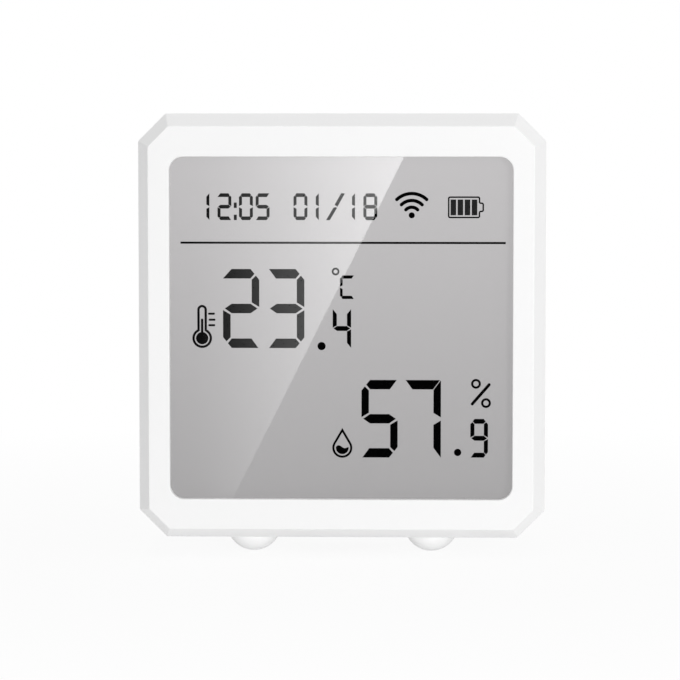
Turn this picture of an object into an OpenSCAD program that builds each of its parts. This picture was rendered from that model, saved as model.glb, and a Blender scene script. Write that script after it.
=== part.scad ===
// Temperature and humidity sensor with a segment display, for a table or a wall.
// The front faces -Y, up is +Z, and the origin is on the table under the middle of the case.
// All sizes are in millimetres. A depth is measured backwards from the front face, and a
// height inside the case is measured from the middle of the case.

/* [Case] */
// Width across the side faces
body_w = 68; // [64:0.5:80]
// Height without the feet
body_h = 71; // [68:0.5:84]
// Depth from the front face to the back face
body_d = 28; // [27:0.5:34]
// Leg of the cut across each corner
corner_cut = 4.6; // [3:0.1:6]
// How far the bevel draws the front face in
bevel_inset = 2.1; // [1.4:0.1:2.6]
// How far back the bevel runs
bevel_depth = 6; // [5.5:0.1:6.5]
// Straight land between the bevel and the seam
bezel_land = 0.5; // [0.3:0.1:1]
// Thickness of the side walls
wall = 1.8; // [1.5:0.1:2.1]
// Thickness of the front face
front_wall = 1.7; // [1.4:0.1:2]
// Thickness of the back face
back_wall = 1.8; // [1.6:0.1:2.2]
// Chamfer round the back face
rear_chamfer = 1; // [0.6:0.1:1.2]
// Width and depth of the shadow line at the seam
seam_groove = 0.3; // [0.1:0.05:0.4]
// Thickness of the lip that centres the two halves
lip_t = 0.8; // [0.6:0.1:0.9]
// Length of that lip
lip_h = 1.4; // [1:0.1:1.6]

/* [Display] */
// Side face to window opening
window_side = 5.6; // [5.2:0.1:7]
// Top or bottom of the case to window opening
window_rise = 7.1; // [6.8:0.1:8.5]
// Corner radius of the window opening
window_r = 2.3; // [1:0.1:4]
// How far the window lies below the front face
window_sink = 0.05; // [0:0.05:0.3]
// Width of the flange hidden behind the front face
flange_w = 1.3; // [1:0.1:1.5]
// Thickness of that flange
flange_t = 0.8; // [0.6:0.1:1]
// Thickness of the adhesive frame
tape_t = 0.15; // [0.1:0.05:0.3]
// Thickness of one glass plate
glass_t = 0.7; // [0.5:0.1:0.9]
// Thickness of one polarising film
film_t = 0.2; // [0.15:0.05:0.3]
// How far the panel reaches past the window opening
lcd_overlap = 0.5; // [0.3:0.1:0.7]
// Height of the contact ledge above the rear glass
lcd_ledge = 2; // [1.8:0.1:2.2]
// Side wall of the panel holder
holder_wall = 0.9; // [0.7:0.1:1.1]
// Back plate of the panel holder
holder_plate = 1; // [0.8:0.1:1.4]
// Thickness of the rubber connector strip
zebra_t = 1.4; // [1.2:0.1:1.5]

/* [Circuit board] */
// Thickness of the board
board_t = 1.2; // [1:0.1:1.6]
// Space between the panel holder's plate and the board
board_standoff = 3; // [2.6:0.1:3.4]
// Gap between the board and the side walls
board_margin = 1.2; // [0.8:0.1:2]
// Side of the controller chip
chip_w = 7; // [6:0.5:9]
// Leads on each side of the controller chip
chip_leads = 12; // [8:1:12]
// Width of the radio module
radio_w = 18; // [15:0.5:18]
// Height of the radio module
radio_h = 24; // [20:0.5:24.5]
// Diameter of the smoothing capacitor
cap_d = 6.3; // [5:0.1:8]
// Height of the smoothing capacitor
cap_h = 5.4; // [4:0.1:7]

/* [Battery bay] */
// Cell diameter
cell_d = 10.4; // [10:0.1:10.6]
// Cell length with its button
cell_l = 44.5; // [43.5:0.1:45]
// Length of a spring pressed by its cell
spring_l = 4.4; // [4:0.1:5]
// Wire of the springs
spring_wire = 0.5; // [0.4:0.05:0.55]
// Turns of a spring
spring_turns = 3; // [2:0.5:3]
// Thickness of the contact sheet
contact_t = 0.4; // [0.3:0.05:0.5]
// Walls of the bay
bay_wall = 1.2; // [1:0.1:1.4]
// Bottom of the case to the inside of the bay
bay_rise = 11.2; // [10.8:0.1:12.5]

/* [Battery door] */
// Thickness of the door
door_t = 1.7; // [1.6:0.1:2]
// Width of the tongue along each long edge
tongue_w = 1; // [0.8:0.1:1.2]
// Thickness of the tongue
tongue_t = 0.7; // [0.6:0.1:0.8]
// Running gap round the door
door_gap = 0.12; // [0.08:0.02:0.2]
// Finger grooves in the door
grip_count = 5; // [3:1:6]

/* [Button] */
// Diameter of the button's cap
button_d = 6; // [5:0.2:7]
// Top of the case to the button's axis
button_drop = 16; // [14:0.5:18]
// Sideways distance of the button from the middle
button_x = 18; // [16.5:0.5:20]
// Running gap round the button
button_gap = 0.2; // [0.15:0.05:0.3]
// Travel of the button and of the switch under it
button_travel = 0.3; // [0.2:0.05:0.35]

/* [Feet] */
// Diameter of a foot where it meets the case
foot_d = 8.6; // [7:0.2:8.8]
// Height of a foot below the case
foot_h = 2.8; // [1.4:0.1:3]
// Diameter of the flat under a foot
foot_flat = 1.8; // [1.6:0.2:4]
// Distance between the left and right feet
foot_spread = 30; // [26:0.5:31]

/* [Wall hanging] */
// Diameter of the keyhole's entry
key_d = 7.5; // [6.5:0.1:8]
// Width of the keyhole's neck
key_neck = 3.8; // [3:0.1:4]
// Rise from the entry to the end of the neck
key_rise = 6; // [5.5:0.5:8]
// Top of the case to the keyhole's entry
key_drop = 18; // [16:0.5:19]
// Room for the screw's head behind the back face
key_room = 3.2; // [2.6:0.1:4]

/* [Vents] */
// Width of a vent slot
vent_w = 1.4; // [1:0.1:1.6]
// Slots in the bottom
vent_bottom = 5; // [3:1:5]
// Slots in each side
vent_side = 5; // [3:1:5]
// Distance between neighbouring slots
vent_pitch = 3.4; // [3:0.1:3.6]

/* [Screws] */
// Shank diameter of the case screws
case_screw_d = 2; // [1.7:0.1:2.2]
// Head diameter of the case screws
case_head_d = 3.5; // [3.2:0.1:3.7]
// Gap between the screw bosses of the bezel and the bottom of the rear half
boss_gap = 0.1; // [0.1:0.05:0.3]
// Shank diameter of the board screws
board_screw_d = 1.6; // [1.4:0.1:1.7]
// Head diameter of the board screws
board_head_d = 3; // [2.6:0.1:3.2]

/* [Hidden] */
$fn = 48;

// Clearances used all over the assembly
slip = 0.1;
touch = 0.05;
over = 1;
span = 200;

// Case
half_w = body_w / 2;
half_h = body_h / 2;
half_d = body_d / 2;
half_diag = (half_w + half_h - corner_cut) / sqrt(2);
mid_z = foot_h + half_h;
bezel_d = bevel_depth + bezel_land;
back_in = body_d - back_wall;
inner_w = half_w - wall;
inner_h = half_h - wall;

// Hooks of the bezel that catch the top of the rear cover
hook_x = 15;
hook_w = 6;
hook_t = 1;
hook_gap = 0.2;
hook_bite = 0.7;
hook_nib = 1.2;
hook_reach = bezel_d + 5;
hook_high = inner_h - hook_gap;

// Display stack, front to back
window_w = body_w - 2 * window_side;
window_h = body_h - 2 * window_rise;
flange_f = front_wall + tape_t;
flange_back = flange_f + flange_t;
panel_gap = 0.15;
polarizer_f = flange_back + panel_gap;
glass_f = polarizer_f + film_t;
rear_glass_f = glass_f + glass_t;
reflector_f = rear_glass_f + glass_t;
plate_f = reflector_f + film_t + slip;
board_f = plate_f + holder_plate + board_standoff;
board_back = board_f + board_t;
lcd_half = window_w / 2 + lcd_overlap;
lcd_high = window_h / 2 + lcd_overlap;
ledge_high = lcd_high + lcd_ledge;
film_edge = 0.2;
zebra_low = lcd_high + (lcd_ledge - zebra_t) / 2;
zebra_inset = 2.6;
zebra_half = lcd_half - zebra_inset;
holder_half = lcd_half + slip + holder_wall;
holder_bar = 8;
holder_r = 3;
screw_tip_gap = 0.3;

// Board outline
board_half = inner_w - board_margin;
board_gap = 0.4;
board_high = hook_high - hook_t - board_gap;
foot_head_t = 0.8;
board_low = inner_h - foot_head_t - board_gap;
board_screw_inset = 2.4;
board_screw_x = lcd_half - board_screw_inset;
board_screw_v = 22;
board_boss_d = 4.4;
board_head_t = 1;
board_bite = 0.4;
board_screw_l = board_standoff + board_bite;
sensor_rise = 3;
sensor_v = sensor_rise - board_low;
sensor_w = 2.5;
sensor_t = 0.9;
tongue_half = 2.7;
relief_w = 1;
relief_l = 6;

// Case screws
screw_side = 10;
screw_x = half_w - screw_side;
boss_d = 3.8;
screw_v = boss_gap + boss_d / 2 - inner_h;
boss_proud = 0.5;
boss_end = board_back + boss_proud;
seat_t = 2.2;
seat_f = boss_end + touch + seat_t;
case_head_t = 1.5;
case_screw_l = 8.4;
well_gap = 0.25;
well_d = case_head_d + 2 * well_gap;
column_wall = 0.9;
column_d = well_d + 2 * column_wall;

// Battery bay
bump_t = 0.3;
bump_d = 3;
nub_d = 3.8;
nub_l = 0.9;
cell_gap = 0.6;
cell_play = 0.4;
floor_play = 0.2;
lid_play = 0.5;
cell_pitch = cell_d + cell_gap;
bay_h = cell_pitch + cell_d + 2 * cell_play;
bay_half = contact_t + (bump_t + cell_l + spring_l) / 2 + touch;
bay_mid = bay_rise + bay_h / 2 - half_h;
bay_top = bay_mid + bay_h / 2 + bay_wall;
bay_floor = body_d - door_t - lid_play - cell_d - floor_play;
cell_f = bay_floor + floor_play + cell_d / 2;
upper_v = bay_mid + cell_pitch / 2;
lower_v = bay_mid - cell_pitch / 2;
cell_tip = bay_half - contact_t - bump_t - touch;
contact_half = 4.2;
contact_lift = 0.6;
contact_h = 8.6;
contact_low = bay_floor + contact_lift;
contact_top = contact_low + contact_h;
tail_half = 1.1;
tail_proud = 0.6;
tail_end = board_f - tail_proud;
guide_h = 7;
guide_w = 0.7;
guide_lap = 0.3;
rib_w = 1.2;
rib_h = 2;

// Battery door
door_lap = 0.6;
door_end_lap = 1.4;
door_half = bay_h / 2 + door_lap;
door_x = -(bay_half + door_end_lap);
door_f = body_d - door_t;
bed_t = 1.4;
bed_margin = 1.2;
bed_half = door_half + tongue_w + door_gap + bed_margin;
grip_w = 0.9;
grip_pitch = 1.9;
grip_l = 12;
grip_t = 0.5;
grip_side = 5;
grip_x = half_w - grip_side;

// Button and switch
button_v = half_h - button_drop;
switch_w = 6;
switch_r = 0.6;
switch_t = 3.4;
switch_top = board_back + switch_t;
plunger_d = 3.4;
plunger_gap = 0.15;
plunger_up = 0.75;
plunger_in = 0.8;
stem_d = 3.2;
stem_gap = 0.02;
stem_f = switch_top + plunger_up + stem_gap;
skirt_t = 0.8;
skirt_w = 1.2;
skirt_d = button_d + 2 * skirt_w;
skirt_l = 4.4;
cap_sink = 0.3;
cap_round = 0.3;
guide_t = 1;

// Feet
foot_a = foot_d / 2;
foot_b = foot_flat / 2;
foot_c = (foot_h * foot_h + foot_a * foot_a - foot_b * foot_b) / (2 * foot_h);
foot_r = sqrt(foot_c * foot_c + foot_b * foot_b);
foot_margin = 0.1;
foot_front_f = bezel_d + foot_margin + foot_a;
foot_rear_f = body_d - rear_chamfer - foot_margin - foot_a;
foot_stem_d = 3;
stem_hole_d = foot_stem_d + 2 * slip;
foot_head_d = 4;
foot_tip_d = 2;

// Wall hanging
key_v = half_h - key_drop;
key_play = 0.3;
key_room_r = key_d / 2 + key_play;
key_wall = 1;

// Radio module
radio_x = -14.5;
radio_v = 15;
radio_t = 0.8;
shield_t = 2.2;
shield_sheet = 0.2;
shield_edge = 1.4;
antenna_h = 6;
radio_pads = 8;
radio_pad_pitch = 1.5;
radio_pad_rise = 2;
radio_pad_d = 0.8;

// Posts of the rear cover that hold the board down
post_d = 3.2;
upper_post_side = 10;
upper_post_drop = 6;
lower_post_side = 6;
lower_post_rise = 7.3;
posts = [
    [half_w - upper_post_side, half_h - upper_post_drop],
    [half_w - lower_post_side, lower_post_rise - half_h]
];

// Helpers: outlines seen from the front, from the side and from above
module slab(from, to)
    translate([0, to - half_d, mid_z])
    rotate([90, 0, 0])
    linear_extrude(height = to - from)
    children();

module across(from, to)
    translate([from, -half_d, mid_z])
    rotate([90, 0, 90])
    linear_extrude(height = to - from)
    children();

module upward(from, to)
    translate([0, -half_d, mid_z + from])
    linear_extrude(height = to - from)
    children();

module turned(x, v)
    translate([x, -half_d, mid_z + v])
    rotate([-90, 0, 0])
    rotate_extrude()
    children();

module between(from, to)
    translate([-span / 2, from - half_d, -span / 2])
    cube([span, to - from, span]);

module box2(x0, x1, y0, y1)
    translate([x0, y0])
    square([x1 - x0, y1 - y0]);

module rounded(w, h, r) {
    square([w - 2 * r, h], center = true);
    square([w, h - 2 * r], center = true);
    for (sx = [-1, 1], sy = [-1, 1])
        translate([sx * (w / 2 - r), sy * (h / 2 - r)])
        circle(r);
}

module slot(l, w) {
    square([l - w, w], center = true);
    for (s = [-1, 1])
        translate([s * (l - w) / 2, 0])
        circle(w / 2);
}

// The eight-sided case: one profile, run along each pair of opposite faces
function side_profile(reach, inset) = let (
    front = reach - bevel_inset - inset,
    side = reach - inset,
    back = reach - rear_chamfer - inset
) [
    [-front, 0], [front, 0], [side, bevel_depth], [side, body_d - rear_chamfer], [back, body_d],
    [-back, body_d], [-side, body_d - rear_chamfer], [-side, bevel_depth]
];

module case_form(inset)
    translate([0, -half_d, mid_z])
    intersection_for(face = [[half_w, 0], [half_h, 90], [half_diag, 45], [half_diag, -45]])
    rotate([0, face[1], 0])
    linear_extrude(height = span, center = true)
    polygon(side_profile(face[0], inset));

module case_part(inset, from, to)
    intersection() {
        case_form(inset);
        between(from, to);
    }

// Front half of the case
module bezel_bosses()
    for (s = [-1, 1])
        slab(front_wall - touch, boss_end)
        translate([s * screw_x, screw_v])
        circle(d = boss_d);

module bezel_hooks()
    for (s = [-1, 1])
        translate([s * hook_x, 0, 0]) {
            slab(front_wall - touch, hook_reach)
                box2(-hook_w / 2, hook_w / 2, hook_high - hook_t, hook_high);
            slab(hook_reach - 2 * hook_nib, hook_reach - hook_nib)
                box2(-hook_w / 2, hook_w / 2, hook_high - touch, inner_h + hook_bite);
        }

module bezel_ribs()
    for (sx = [-1, 1], sv = [-1, 1])
        slab(front_wall - touch, bezel_d)
        translate([0, sv * board_screw_v])
        mirror([(1 - sx) / 2, 0])
        box2(holder_half + 1.5 * slip, inner_w + touch, -rib_w / 2, rib_w / 2);

module front_bezel()
    color("WhiteSmoke")
    difference() {
        union() {
            difference() {
                case_part(0, 0, bezel_d);
                case_part(wall, front_wall, body_d);
            }
            difference() {
                case_part(wall - lip_t, bezel_d - lip_h, bezel_d + lip_h);
                case_part(wall, front_wall, body_d);
            }
            intersection() {
                case_form(wall / 2);
                union() {
                    bezel_bosses();
                    bezel_hooks();
                    bezel_ribs();
                }
            }
        }
        slab(-over, front_wall + over)
            rounded(window_w, window_h, window_r);
        for (s = [-1, 1])
            slab(seat_f - case_screw_l - screw_tip_gap, boss_end + over)
            translate([s * screw_x, screw_v])
            circle(d = case_screw_d + slip);
    }

// Window and its adhesive frame
module window_tape()
    color("DimGray")
    slab(front_wall, flange_f)
    difference() {
        rounded(window_w + 2 * flange_w - slip, window_h + 2 * flange_w - slip, window_r);
        rounded(window_w + 2 * slip, window_h + 2 * slip, window_r);
    }

module display_window()
    color("LightCyan")
    union() {
        slab(window_sink, flange_f + touch)
            rounded(window_w - 2 * slip, window_h - 2 * slip, window_r);
        slab(flange_f, flange_back)
            rounded(window_w + 2 * flange_w, window_h + 2 * flange_w, window_r);
    }

// Display panel
module lcd_polarizer()
    color("LightGray")
    slab(polarizer_f, glass_f)
    box2(film_edge - lcd_half, lcd_half - film_edge, film_edge - lcd_high, lcd_high - film_edge);

module lcd_front_glass()
    color("PaleTurquoise")
    slab(glass_f, rear_glass_f)
    box2(-lcd_half, lcd_half, -lcd_high, ledge_high);

module lcd_rear_glass()
    color("PaleTurquoise")
    slab(rear_glass_f, reflector_f)
    box2(-lcd_half, lcd_half, -lcd_high, lcd_high);

module lcd_reflector()
    color("Silver")
    slab(reflector_f, reflector_f + film_t)
    box2(film_edge - lcd_half, lcd_half - film_edge, film_edge - lcd_high, lcd_high - film_edge);

module at_board_screws()
    for (sx = [-1, 1], sv = [-1, 1])
        translate([sx * board_screw_x, sv * board_screw_v])
        children();

module holder_body() {
    slab(flange_back + touch, board_f)
        difference() {
            box2(-holder_half, holder_half,
                -lcd_high - slip - holder_wall, ledge_high + slip + holder_wall);
            box2(-lcd_half - slip, lcd_half + slip, -lcd_high - slip, ledge_high + slip);
        }
    slab(plate_f, plate_f + holder_plate)
        difference() {
            box2(-lcd_half - holder_wall, lcd_half + holder_wall,
                -lcd_high - holder_wall, ledge_high + holder_wall);
            for (s = [-1, 1])
                translate([0, s * lcd_high / 2])
                rounded(lcd_half, lcd_high - holder_bar, holder_r);
        }
    slab(plate_f, board_f)
        at_board_screws()
        circle(d = board_boss_d);
    slab(plate_f, board_f)
        box2(-zebra_half, zebra_half, zebra_low - slip - rib_w, zebra_low - slip);
}

module lcd_holder()
    color("Gainsboro")
    difference() {
        intersection() {
            case_form(wall + slip);
            holder_body();
        }
        slab(rear_glass_f - slip, board_f + over)
            box2(-zebra_half - slip, zebra_half + slip, zebra_low - slip, zebra_low + zebra_t + slip);
        slab(board_f - board_screw_l - screw_tip_gap, board_f + over)
            at_board_screws()
            circle(d = board_screw_d + slip);
        slab(0, board_f + over)
            for (s = [-1, 1])
                translate([s * screw_x, screw_v])
                circle(d = boss_d + 4 * slip);
    }

module zebra_strip()
    color("DarkSlateGray")
    slab(rear_glass_f, board_f)
    box2(-zebra_half, zebra_half, zebra_low, zebra_low + zebra_t);

// Circuit board and what is soldered to it
module board_outline()
    polygon([
        [-board_half, corner_cut - board_low], [corner_cut - board_half, -board_low],
        [board_half - corner_cut, -board_low], [board_half, corner_cut - board_low],
        [board_half, board_high - corner_cut], [board_half - corner_cut, board_high],
        [corner_cut - board_half, board_high], [-board_half, board_high - corner_cut]
    ]);

module tail_openings(gap)
    for (v = [upper_v, lower_v])
        box2(bay_half - contact_t - gap, bay_half + gap, v - tail_half - gap, v + tail_half + gap);

module main_board()
    color("DarkGreen")
    slab(board_f, board_back)
    difference() {
        board_outline();
        at_board_screws()
            circle(d = board_screw_d + 4 * slip);
        for (s = [-1, 1])
            translate([s * screw_x, screw_v])
            circle(d = boss_d + 8 * slip);
        for (s = [-1, 1])
            translate([s * (tongue_half + relief_w / 2), -board_low + relief_l / 2 - over / 2])
            square([relief_w, relief_l + over], center = true);
        tail_openings(2 * slip);
    }

module cross_recess(from, to, w)
    slab(from, to)
    for (a = [0, 90])
        rotate(a)
        square([w, w / 4], center = true);

module screw(head_d, head_t, shank_d, shank_l, seat)
    difference() {
        turned(0, 0)
            polygon([
                [0, seat - shank_l], [shank_d / 4, seat - shank_l],
                [shank_d / 2, seat - shank_l + shank_d / 2], [shank_d / 2, seat],
                [head_d / 2, seat], [head_d / 2, seat + head_t / 2],
                [head_d / 3, seat + head_t], [0, seat + head_t]
            ]);
        cross_recess(seat + head_t / 2, seat + head_t + over, head_d / 2);
    }

module board_screws()
    color("Silver")
    for (sx = [-1, 1], sv = [-1, 1])
        translate([sx * board_screw_x, 0, sv * board_screw_v])
        screw(board_head_d, board_head_t, board_screw_d, board_screw_l + board_t, board_back);

// Gull-wing leads in a row along one side of a chip
chip_t = 1.4;
chip_x = 14;
chip_gap = 0.5;
lead_w = 0.22;
lead_t = 0.15;
lead_l = 1;
chip_reach = chip_w / 2 + lead_l;
chip_v = bay_top + chip_gap + chip_reach;
lead_rise = 0.7;
lead_pitch = 0.5;

module chip_lead()
    linear_extrude(height = lead_w, center = true)
    polygon([
        [-lead_t, lead_rise], [lead_l / 3, lead_rise], [lead_l / 3, lead_t], [lead_l, lead_t],
        [lead_l, 0], [lead_l / 3 - lead_t, 0], [lead_l / 3 - lead_t, lead_rise - lead_t],
        [-lead_t, lead_rise - lead_t]
    ]);

module controller_chip()
    color("DimGray")
    translate([chip_x, board_back - half_d, mid_z + chip_v])
    rotate([-90, 0, 0]) {
        translate([-chip_w / 2, -chip_w / 2, lead_t])
            cube([chip_w, chip_w, chip_t]);
        for (side = [0:3], i = [0:chip_leads - 1])
            rotate(90 * side)
            translate([chip_w / 2, (i - (chip_leads - 1) / 2) * lead_pitch, 0])
            rotate([90, 0, 0])
            chip_lead();
    }

module radio_board()
    color("MidnightBlue")
    slab(board_back, board_back + radio_t)
    translate([radio_x, radio_v])
    difference() {
        square([radio_w, radio_h], center = true);
        for (s = [-1, 1], i = [0:radio_pads - 1])
            translate([s * radio_w / 2, radio_pad_rise + i * radio_pad_pitch - radio_h / 2])
            circle(d = radio_pad_d);
    }

module radio_shield()
    color("Silver")
    translate([radio_x, 0, radio_v - antenna_h / 2])
    difference() {
        slab(board_back + radio_t, board_back + radio_t + shield_t)
            square([radio_w - 2 * shield_edge, radio_h - antenna_h - shield_edge], center = true);
        slab(board_back + radio_t - over, board_back + radio_t + shield_t - shield_sheet)
            square([radio_w - 2 * shield_edge - 2 * shield_sheet,
                radio_h - antenna_h - shield_edge - 2 * shield_sheet], center = true);
    }

module climate_sensor()
    color("Black")
    difference() {
        slab(board_back, board_back + sensor_t)
            translate([0, sensor_v])
            square(sensor_w, center = true);
        slab(board_back + sensor_t / 2, board_back + sensor_t + over)
            translate([0, sensor_v])
            circle(d = sensor_w / 3);
    }

// Crystal with its metal lid on a ceramic base
crystal_w = 5;
crystal_h = 3.2;
crystal_t = 0.6;
crystal_r = 0.3;
crystal_rim = 0.3;
lid_r = 0.5;
crystal_x = chip_x + chip_reach + crystal_w / 2 + chip_gap;

module crystal()
    color("Khaki")
    translate([crystal_x, 0, chip_v]) {
        slab(board_back, board_back + crystal_t)
            rounded(crystal_w, crystal_h, crystal_r);
        slab(board_back + crystal_t, board_back + 2 * crystal_t)
            rounded(crystal_w - 2 * crystal_rim, crystal_h - 2 * crystal_rim, lid_r);
    }

// Smoothing capacitor: a can with a beaded neck on a square base
cap_x = 4;
cap_v = 9;
cap_base_t = 1;
cap_base_r = 0.8;
cap_lap = 0.2;
cap_bead = 0.6;
cap_neck = 0.35;

module smoothing_capacitor()
    color("LightSteelBlue") {
        slab(board_back, board_back + cap_base_t)
            translate([cap_x, cap_v])
            rounded(cap_d + 2 * cap_lap, cap_d + 2 * cap_lap, cap_base_r);
        turned(cap_x, cap_v)
            polygon([
                [0, board_back + cap_base_t - touch],
                [cap_d / 2 - cap_neck, board_back + cap_base_t - touch],
                [cap_d / 2 - cap_neck, board_back + cap_base_t + cap_bead],
                [cap_d / 2, board_back + cap_base_t + cap_bead + cap_neck],
                [cap_d / 2, board_back + cap_h - cap_neck],
                [cap_d / 2 - cap_neck, board_back + cap_h],
                [0, board_back + cap_h]
            ]);
    }

// Power inductor: a ferrite drum in a square frame
coil_x = 3;
coil_v = 22;
coil_w = 5;
coil_t = 2.6;
coil_r = 0.8;
coil_rim = 0.4;
coil_groove_w = 0.6;
coil_groove_t = 0.5;

module inductor()
    color("SlateGray")
    difference() {
        slab(board_back, board_back + coil_t)
            translate([coil_x, coil_v])
            rounded(coil_w, coil_w, coil_r);
        slab(board_back + coil_t - coil_groove_t, board_back + coil_t + over)
            translate([coil_x, coil_v])
            difference() {
                circle(coil_w / 2 - coil_rim);
                circle(coil_w / 2 - coil_rim - coil_groove_w);
            }
    }

// Chip resistors and capacitors in two rows
part_l = 1.6;
part_w = 0.8;
part_t = 0.5;
part_pitch = 3.2;
lower_row_v = -17;
lower_row_count = 7;
upper_row_v = 1.5;
upper_row_count = 3;

module part_row(v, count)
    for (i = [0:count - 1])
        slab(board_back, board_back + part_t)
        translate([(i - (count - 1) / 2) * part_pitch, v])
        square([part_w, part_l], center = true);

module chip_parts()
    color("Tan") {
        part_row(lower_row_v, lower_row_count);
        part_row(upper_row_v, upper_row_count);
    }

// Switch under the button
module switch_body()
    color("DarkSlateGray")
    difference() {
        slab(board_back, switch_top)
            translate([button_x, button_v])
            rounded(switch_w, switch_w, switch_r);
        slab(switch_top - plunger_in - button_travel - slip, switch_top + over)
            translate([button_x, button_v])
            circle(d = plunger_d + 2 * plunger_gap);
    }

module switch_plunger()
    color("Black")
    slab(switch_top - plunger_in, switch_top + plunger_up)
    translate([button_x, button_v])
    circle(d = plunger_d);

module pairing_button()
    color("WhiteSmoke")
    turned(button_x, button_v)
    let (top = back_in - touch, face = body_d - cap_sink)
    polygon([
        [0, stem_f], [stem_d / 2, stem_f], [stem_d / 2, top - skirt_t],
        [skirt_d / 2 - skirt_t, top - skirt_t], [skirt_d / 2 - skirt_t, top - skirt_l],
        [skirt_d / 2, top - skirt_l], [skirt_d / 2, top], [button_d / 2, top],
        [button_d / 2, face - cap_round], [button_d / 2 - cap_round, face], [0, face]
    ]);

// Rear half of the case
module bay_tub()
    slab(bay_floor - bay_wall, back_in + touch)
    box2(-bay_half - bay_wall, bay_half + bay_wall,
        bay_mid - bay_h / 2 - bay_wall, bay_mid + bay_h / 2 + bay_wall);

// Guides that keep the contact sheets against the ends of the bay
module contact_guide(end, v0, v1, lip0, lip1)
    slab(bay_floor - over, bay_floor + guide_h)
    let (sheet = bay_half - contact_t - slip, face = sheet - guide_w)
    mirror([(1 - end) / 2, 0])
    translate([0, bay_mid]) {
        box2(face, bay_half + over, v0, v1);
        box2(face, sheet, v0 - lip0, v1 + lip1);
    }

module contact_guides()
    let (inner = cell_pitch / 2 - contact_half - slip, outer = cell_pitch / 2 + contact_half + slip) {
        for (end = [-1, 1]) {
            contact_guide(end, outer, bay_h / 2 + over, guide_lap, 0);
            contact_guide(end, -bay_h / 2 - over, -outer, 0, guide_lap);
        }
        contact_guide(1, -inner, inner, guide_lap, guide_lap);
    }

module bay_room()
    difference() {
        slab(bay_floor, body_d + over)
            box2(-bay_half, bay_half, bay_mid - bay_h / 2, bay_mid + bay_h / 2);
        slab(bay_floor - over, bay_floor + rib_h)
            box2(contact_half - bay_half, bay_half - contact_half,
                bay_mid - rib_w / 2, bay_mid + rib_w / 2);
        contact_guides();
    }

module door_bed()
    slab(door_f - bed_t, back_in + touch)
    box2(door_x - bay_wall, half_w, bay_mid - bed_half, bay_mid + bed_half);

module door_shape(gap) {
    slab(door_f - gap, body_d + over)
        box2(door_x - gap, half_w + over, bay_mid - door_half - gap, bay_mid + door_half + gap);
    slab(door_f - gap, door_f + tongue_t + gap)
        box2(door_x - gap, half_w + over,
            bay_mid - door_half - tongue_w - gap, bay_mid + door_half + tongue_w + gap);
}

module screw_columns()
    for (s = [-1, 1])
        slab(boss_end + touch, back_in + touch)
        translate([s * screw_x, screw_v])
        circle(d = column_d);

module screw_wells()
    for (s = [-1, 1])
        translate([s * screw_x, 0, screw_v]) {
            slab(boss_end, seat_f + over)
                circle(d = case_screw_d + 4 * slip);
            slab(seat_f, body_d + over)
                circle(d = well_d);
        }

module board_posts()
    for (p = posts, s = [-1, 1])
        slab(board_back + touch, back_in + touch)
        translate([s * p[0], p[1]])
        circle(d = post_d);

module button_guide()
    slab(back_in - touch - skirt_l - over, back_in + touch)
    translate([button_x, button_v])
    difference() {
        circle(d = skirt_d + 2 * button_gap + 2 * guide_t);
        circle(d = skirt_d + 2 * button_gap);
    }

module keyhole_room(r)
    translate([0, key_v]) {
        circle(r);
        translate([0, key_rise])
            circle(r);
        box2(-r, r, 0, key_rise);
    }

module hanging_pocket()
    slab(back_in - key_room - key_wall, back_in + touch)
    keyhole_room(key_room_r + key_wall);

module keyhole() {
    slab(back_in - key_room, back_in)
        keyhole_room(key_room_r);
    slab(back_in - over, body_d + over)
        translate([0, key_v]) {
            circle(d = key_d);
            translate([0, key_rise])
                circle(d = key_neck);
            box2(-key_neck / 2, key_neck / 2, 0, key_rise);
        }
}

vent_l = 9;
vent_gap = 2;
vent_f = bezel_d + lip_h + vent_gap;
vent_v = -14;

module vents() {
    upward(-half_h - over, over - inner_h)
        for (i = [0:vent_bottom - 1])
            translate([(i - (vent_bottom - 1) / 2) * vent_pitch, vent_f + vent_l / 2])
            rotate(90)
            slot(vent_l, vent_w);
    across(-half_w - over, half_w + over)
        for (i = [0:vent_side - 1])
            translate([vent_f + vent_l / 2, vent_v + (i - (vent_side - 1) / 2) * vent_pitch])
            slot(vent_l, vent_w);
}

module at_feet()
    for (s = [-1, 1], f = [foot_front_f, foot_rear_f])
        translate([s * foot_spread / 2, f - half_d, 0])
        children();

module hook_pockets()
    for (s = [-1, 1])
        slab(hook_reach - 2 * hook_nib - 2 * slip, hook_reach - hook_nib + 2 * slip)
        translate([s * hook_x, 0])
        box2(-hook_w / 2 - 2 * slip, hook_w / 2 + 2 * slip,
            inner_h - touch, inner_h + hook_bite + slip);

module rear_cover()
    color("White")
    difference() {
        union() {
            difference() {
                case_part(0, bezel_d, body_d);
                case_part(wall, 0, back_in);
            }
            intersection() {
                case_form(wall / 2);
                union() {
                    bay_tub();
                    door_bed();
                    screw_columns();
                    board_posts();
                    button_guide();
                    hanging_pocket();
                }
            }
        }
        case_part(wall - lip_t - slip, bezel_d - over, bezel_d + lip_h + slip);
        difference() {
            between(bezel_d - over, bezel_d + seam_groove);
            case_form(seam_groove);
        }
        bay_room();
        door_shape(door_gap);
        screw_wells();
        slab(back_in - over, body_d + over)
            translate([button_x, button_v])
            circle(d = button_d + 2 * button_gap);
        keyhole();
        difference() {
            vents();
            bay_tub();
        }
        at_feet()
            cylinder(d = stem_hole_d, h = foot_h + wall + over);
        hook_pockets();
        slab(bay_floor - bay_wall - over, bay_floor + over)
            tail_openings(2 * slip);
    }

module case_screws()
    color("Silver")
    for (s = [-1, 1])
        translate([s * screw_x, 0, screw_v])
        screw(case_head_d, case_head_t, case_screw_d, case_screw_l, seat_f);

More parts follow.
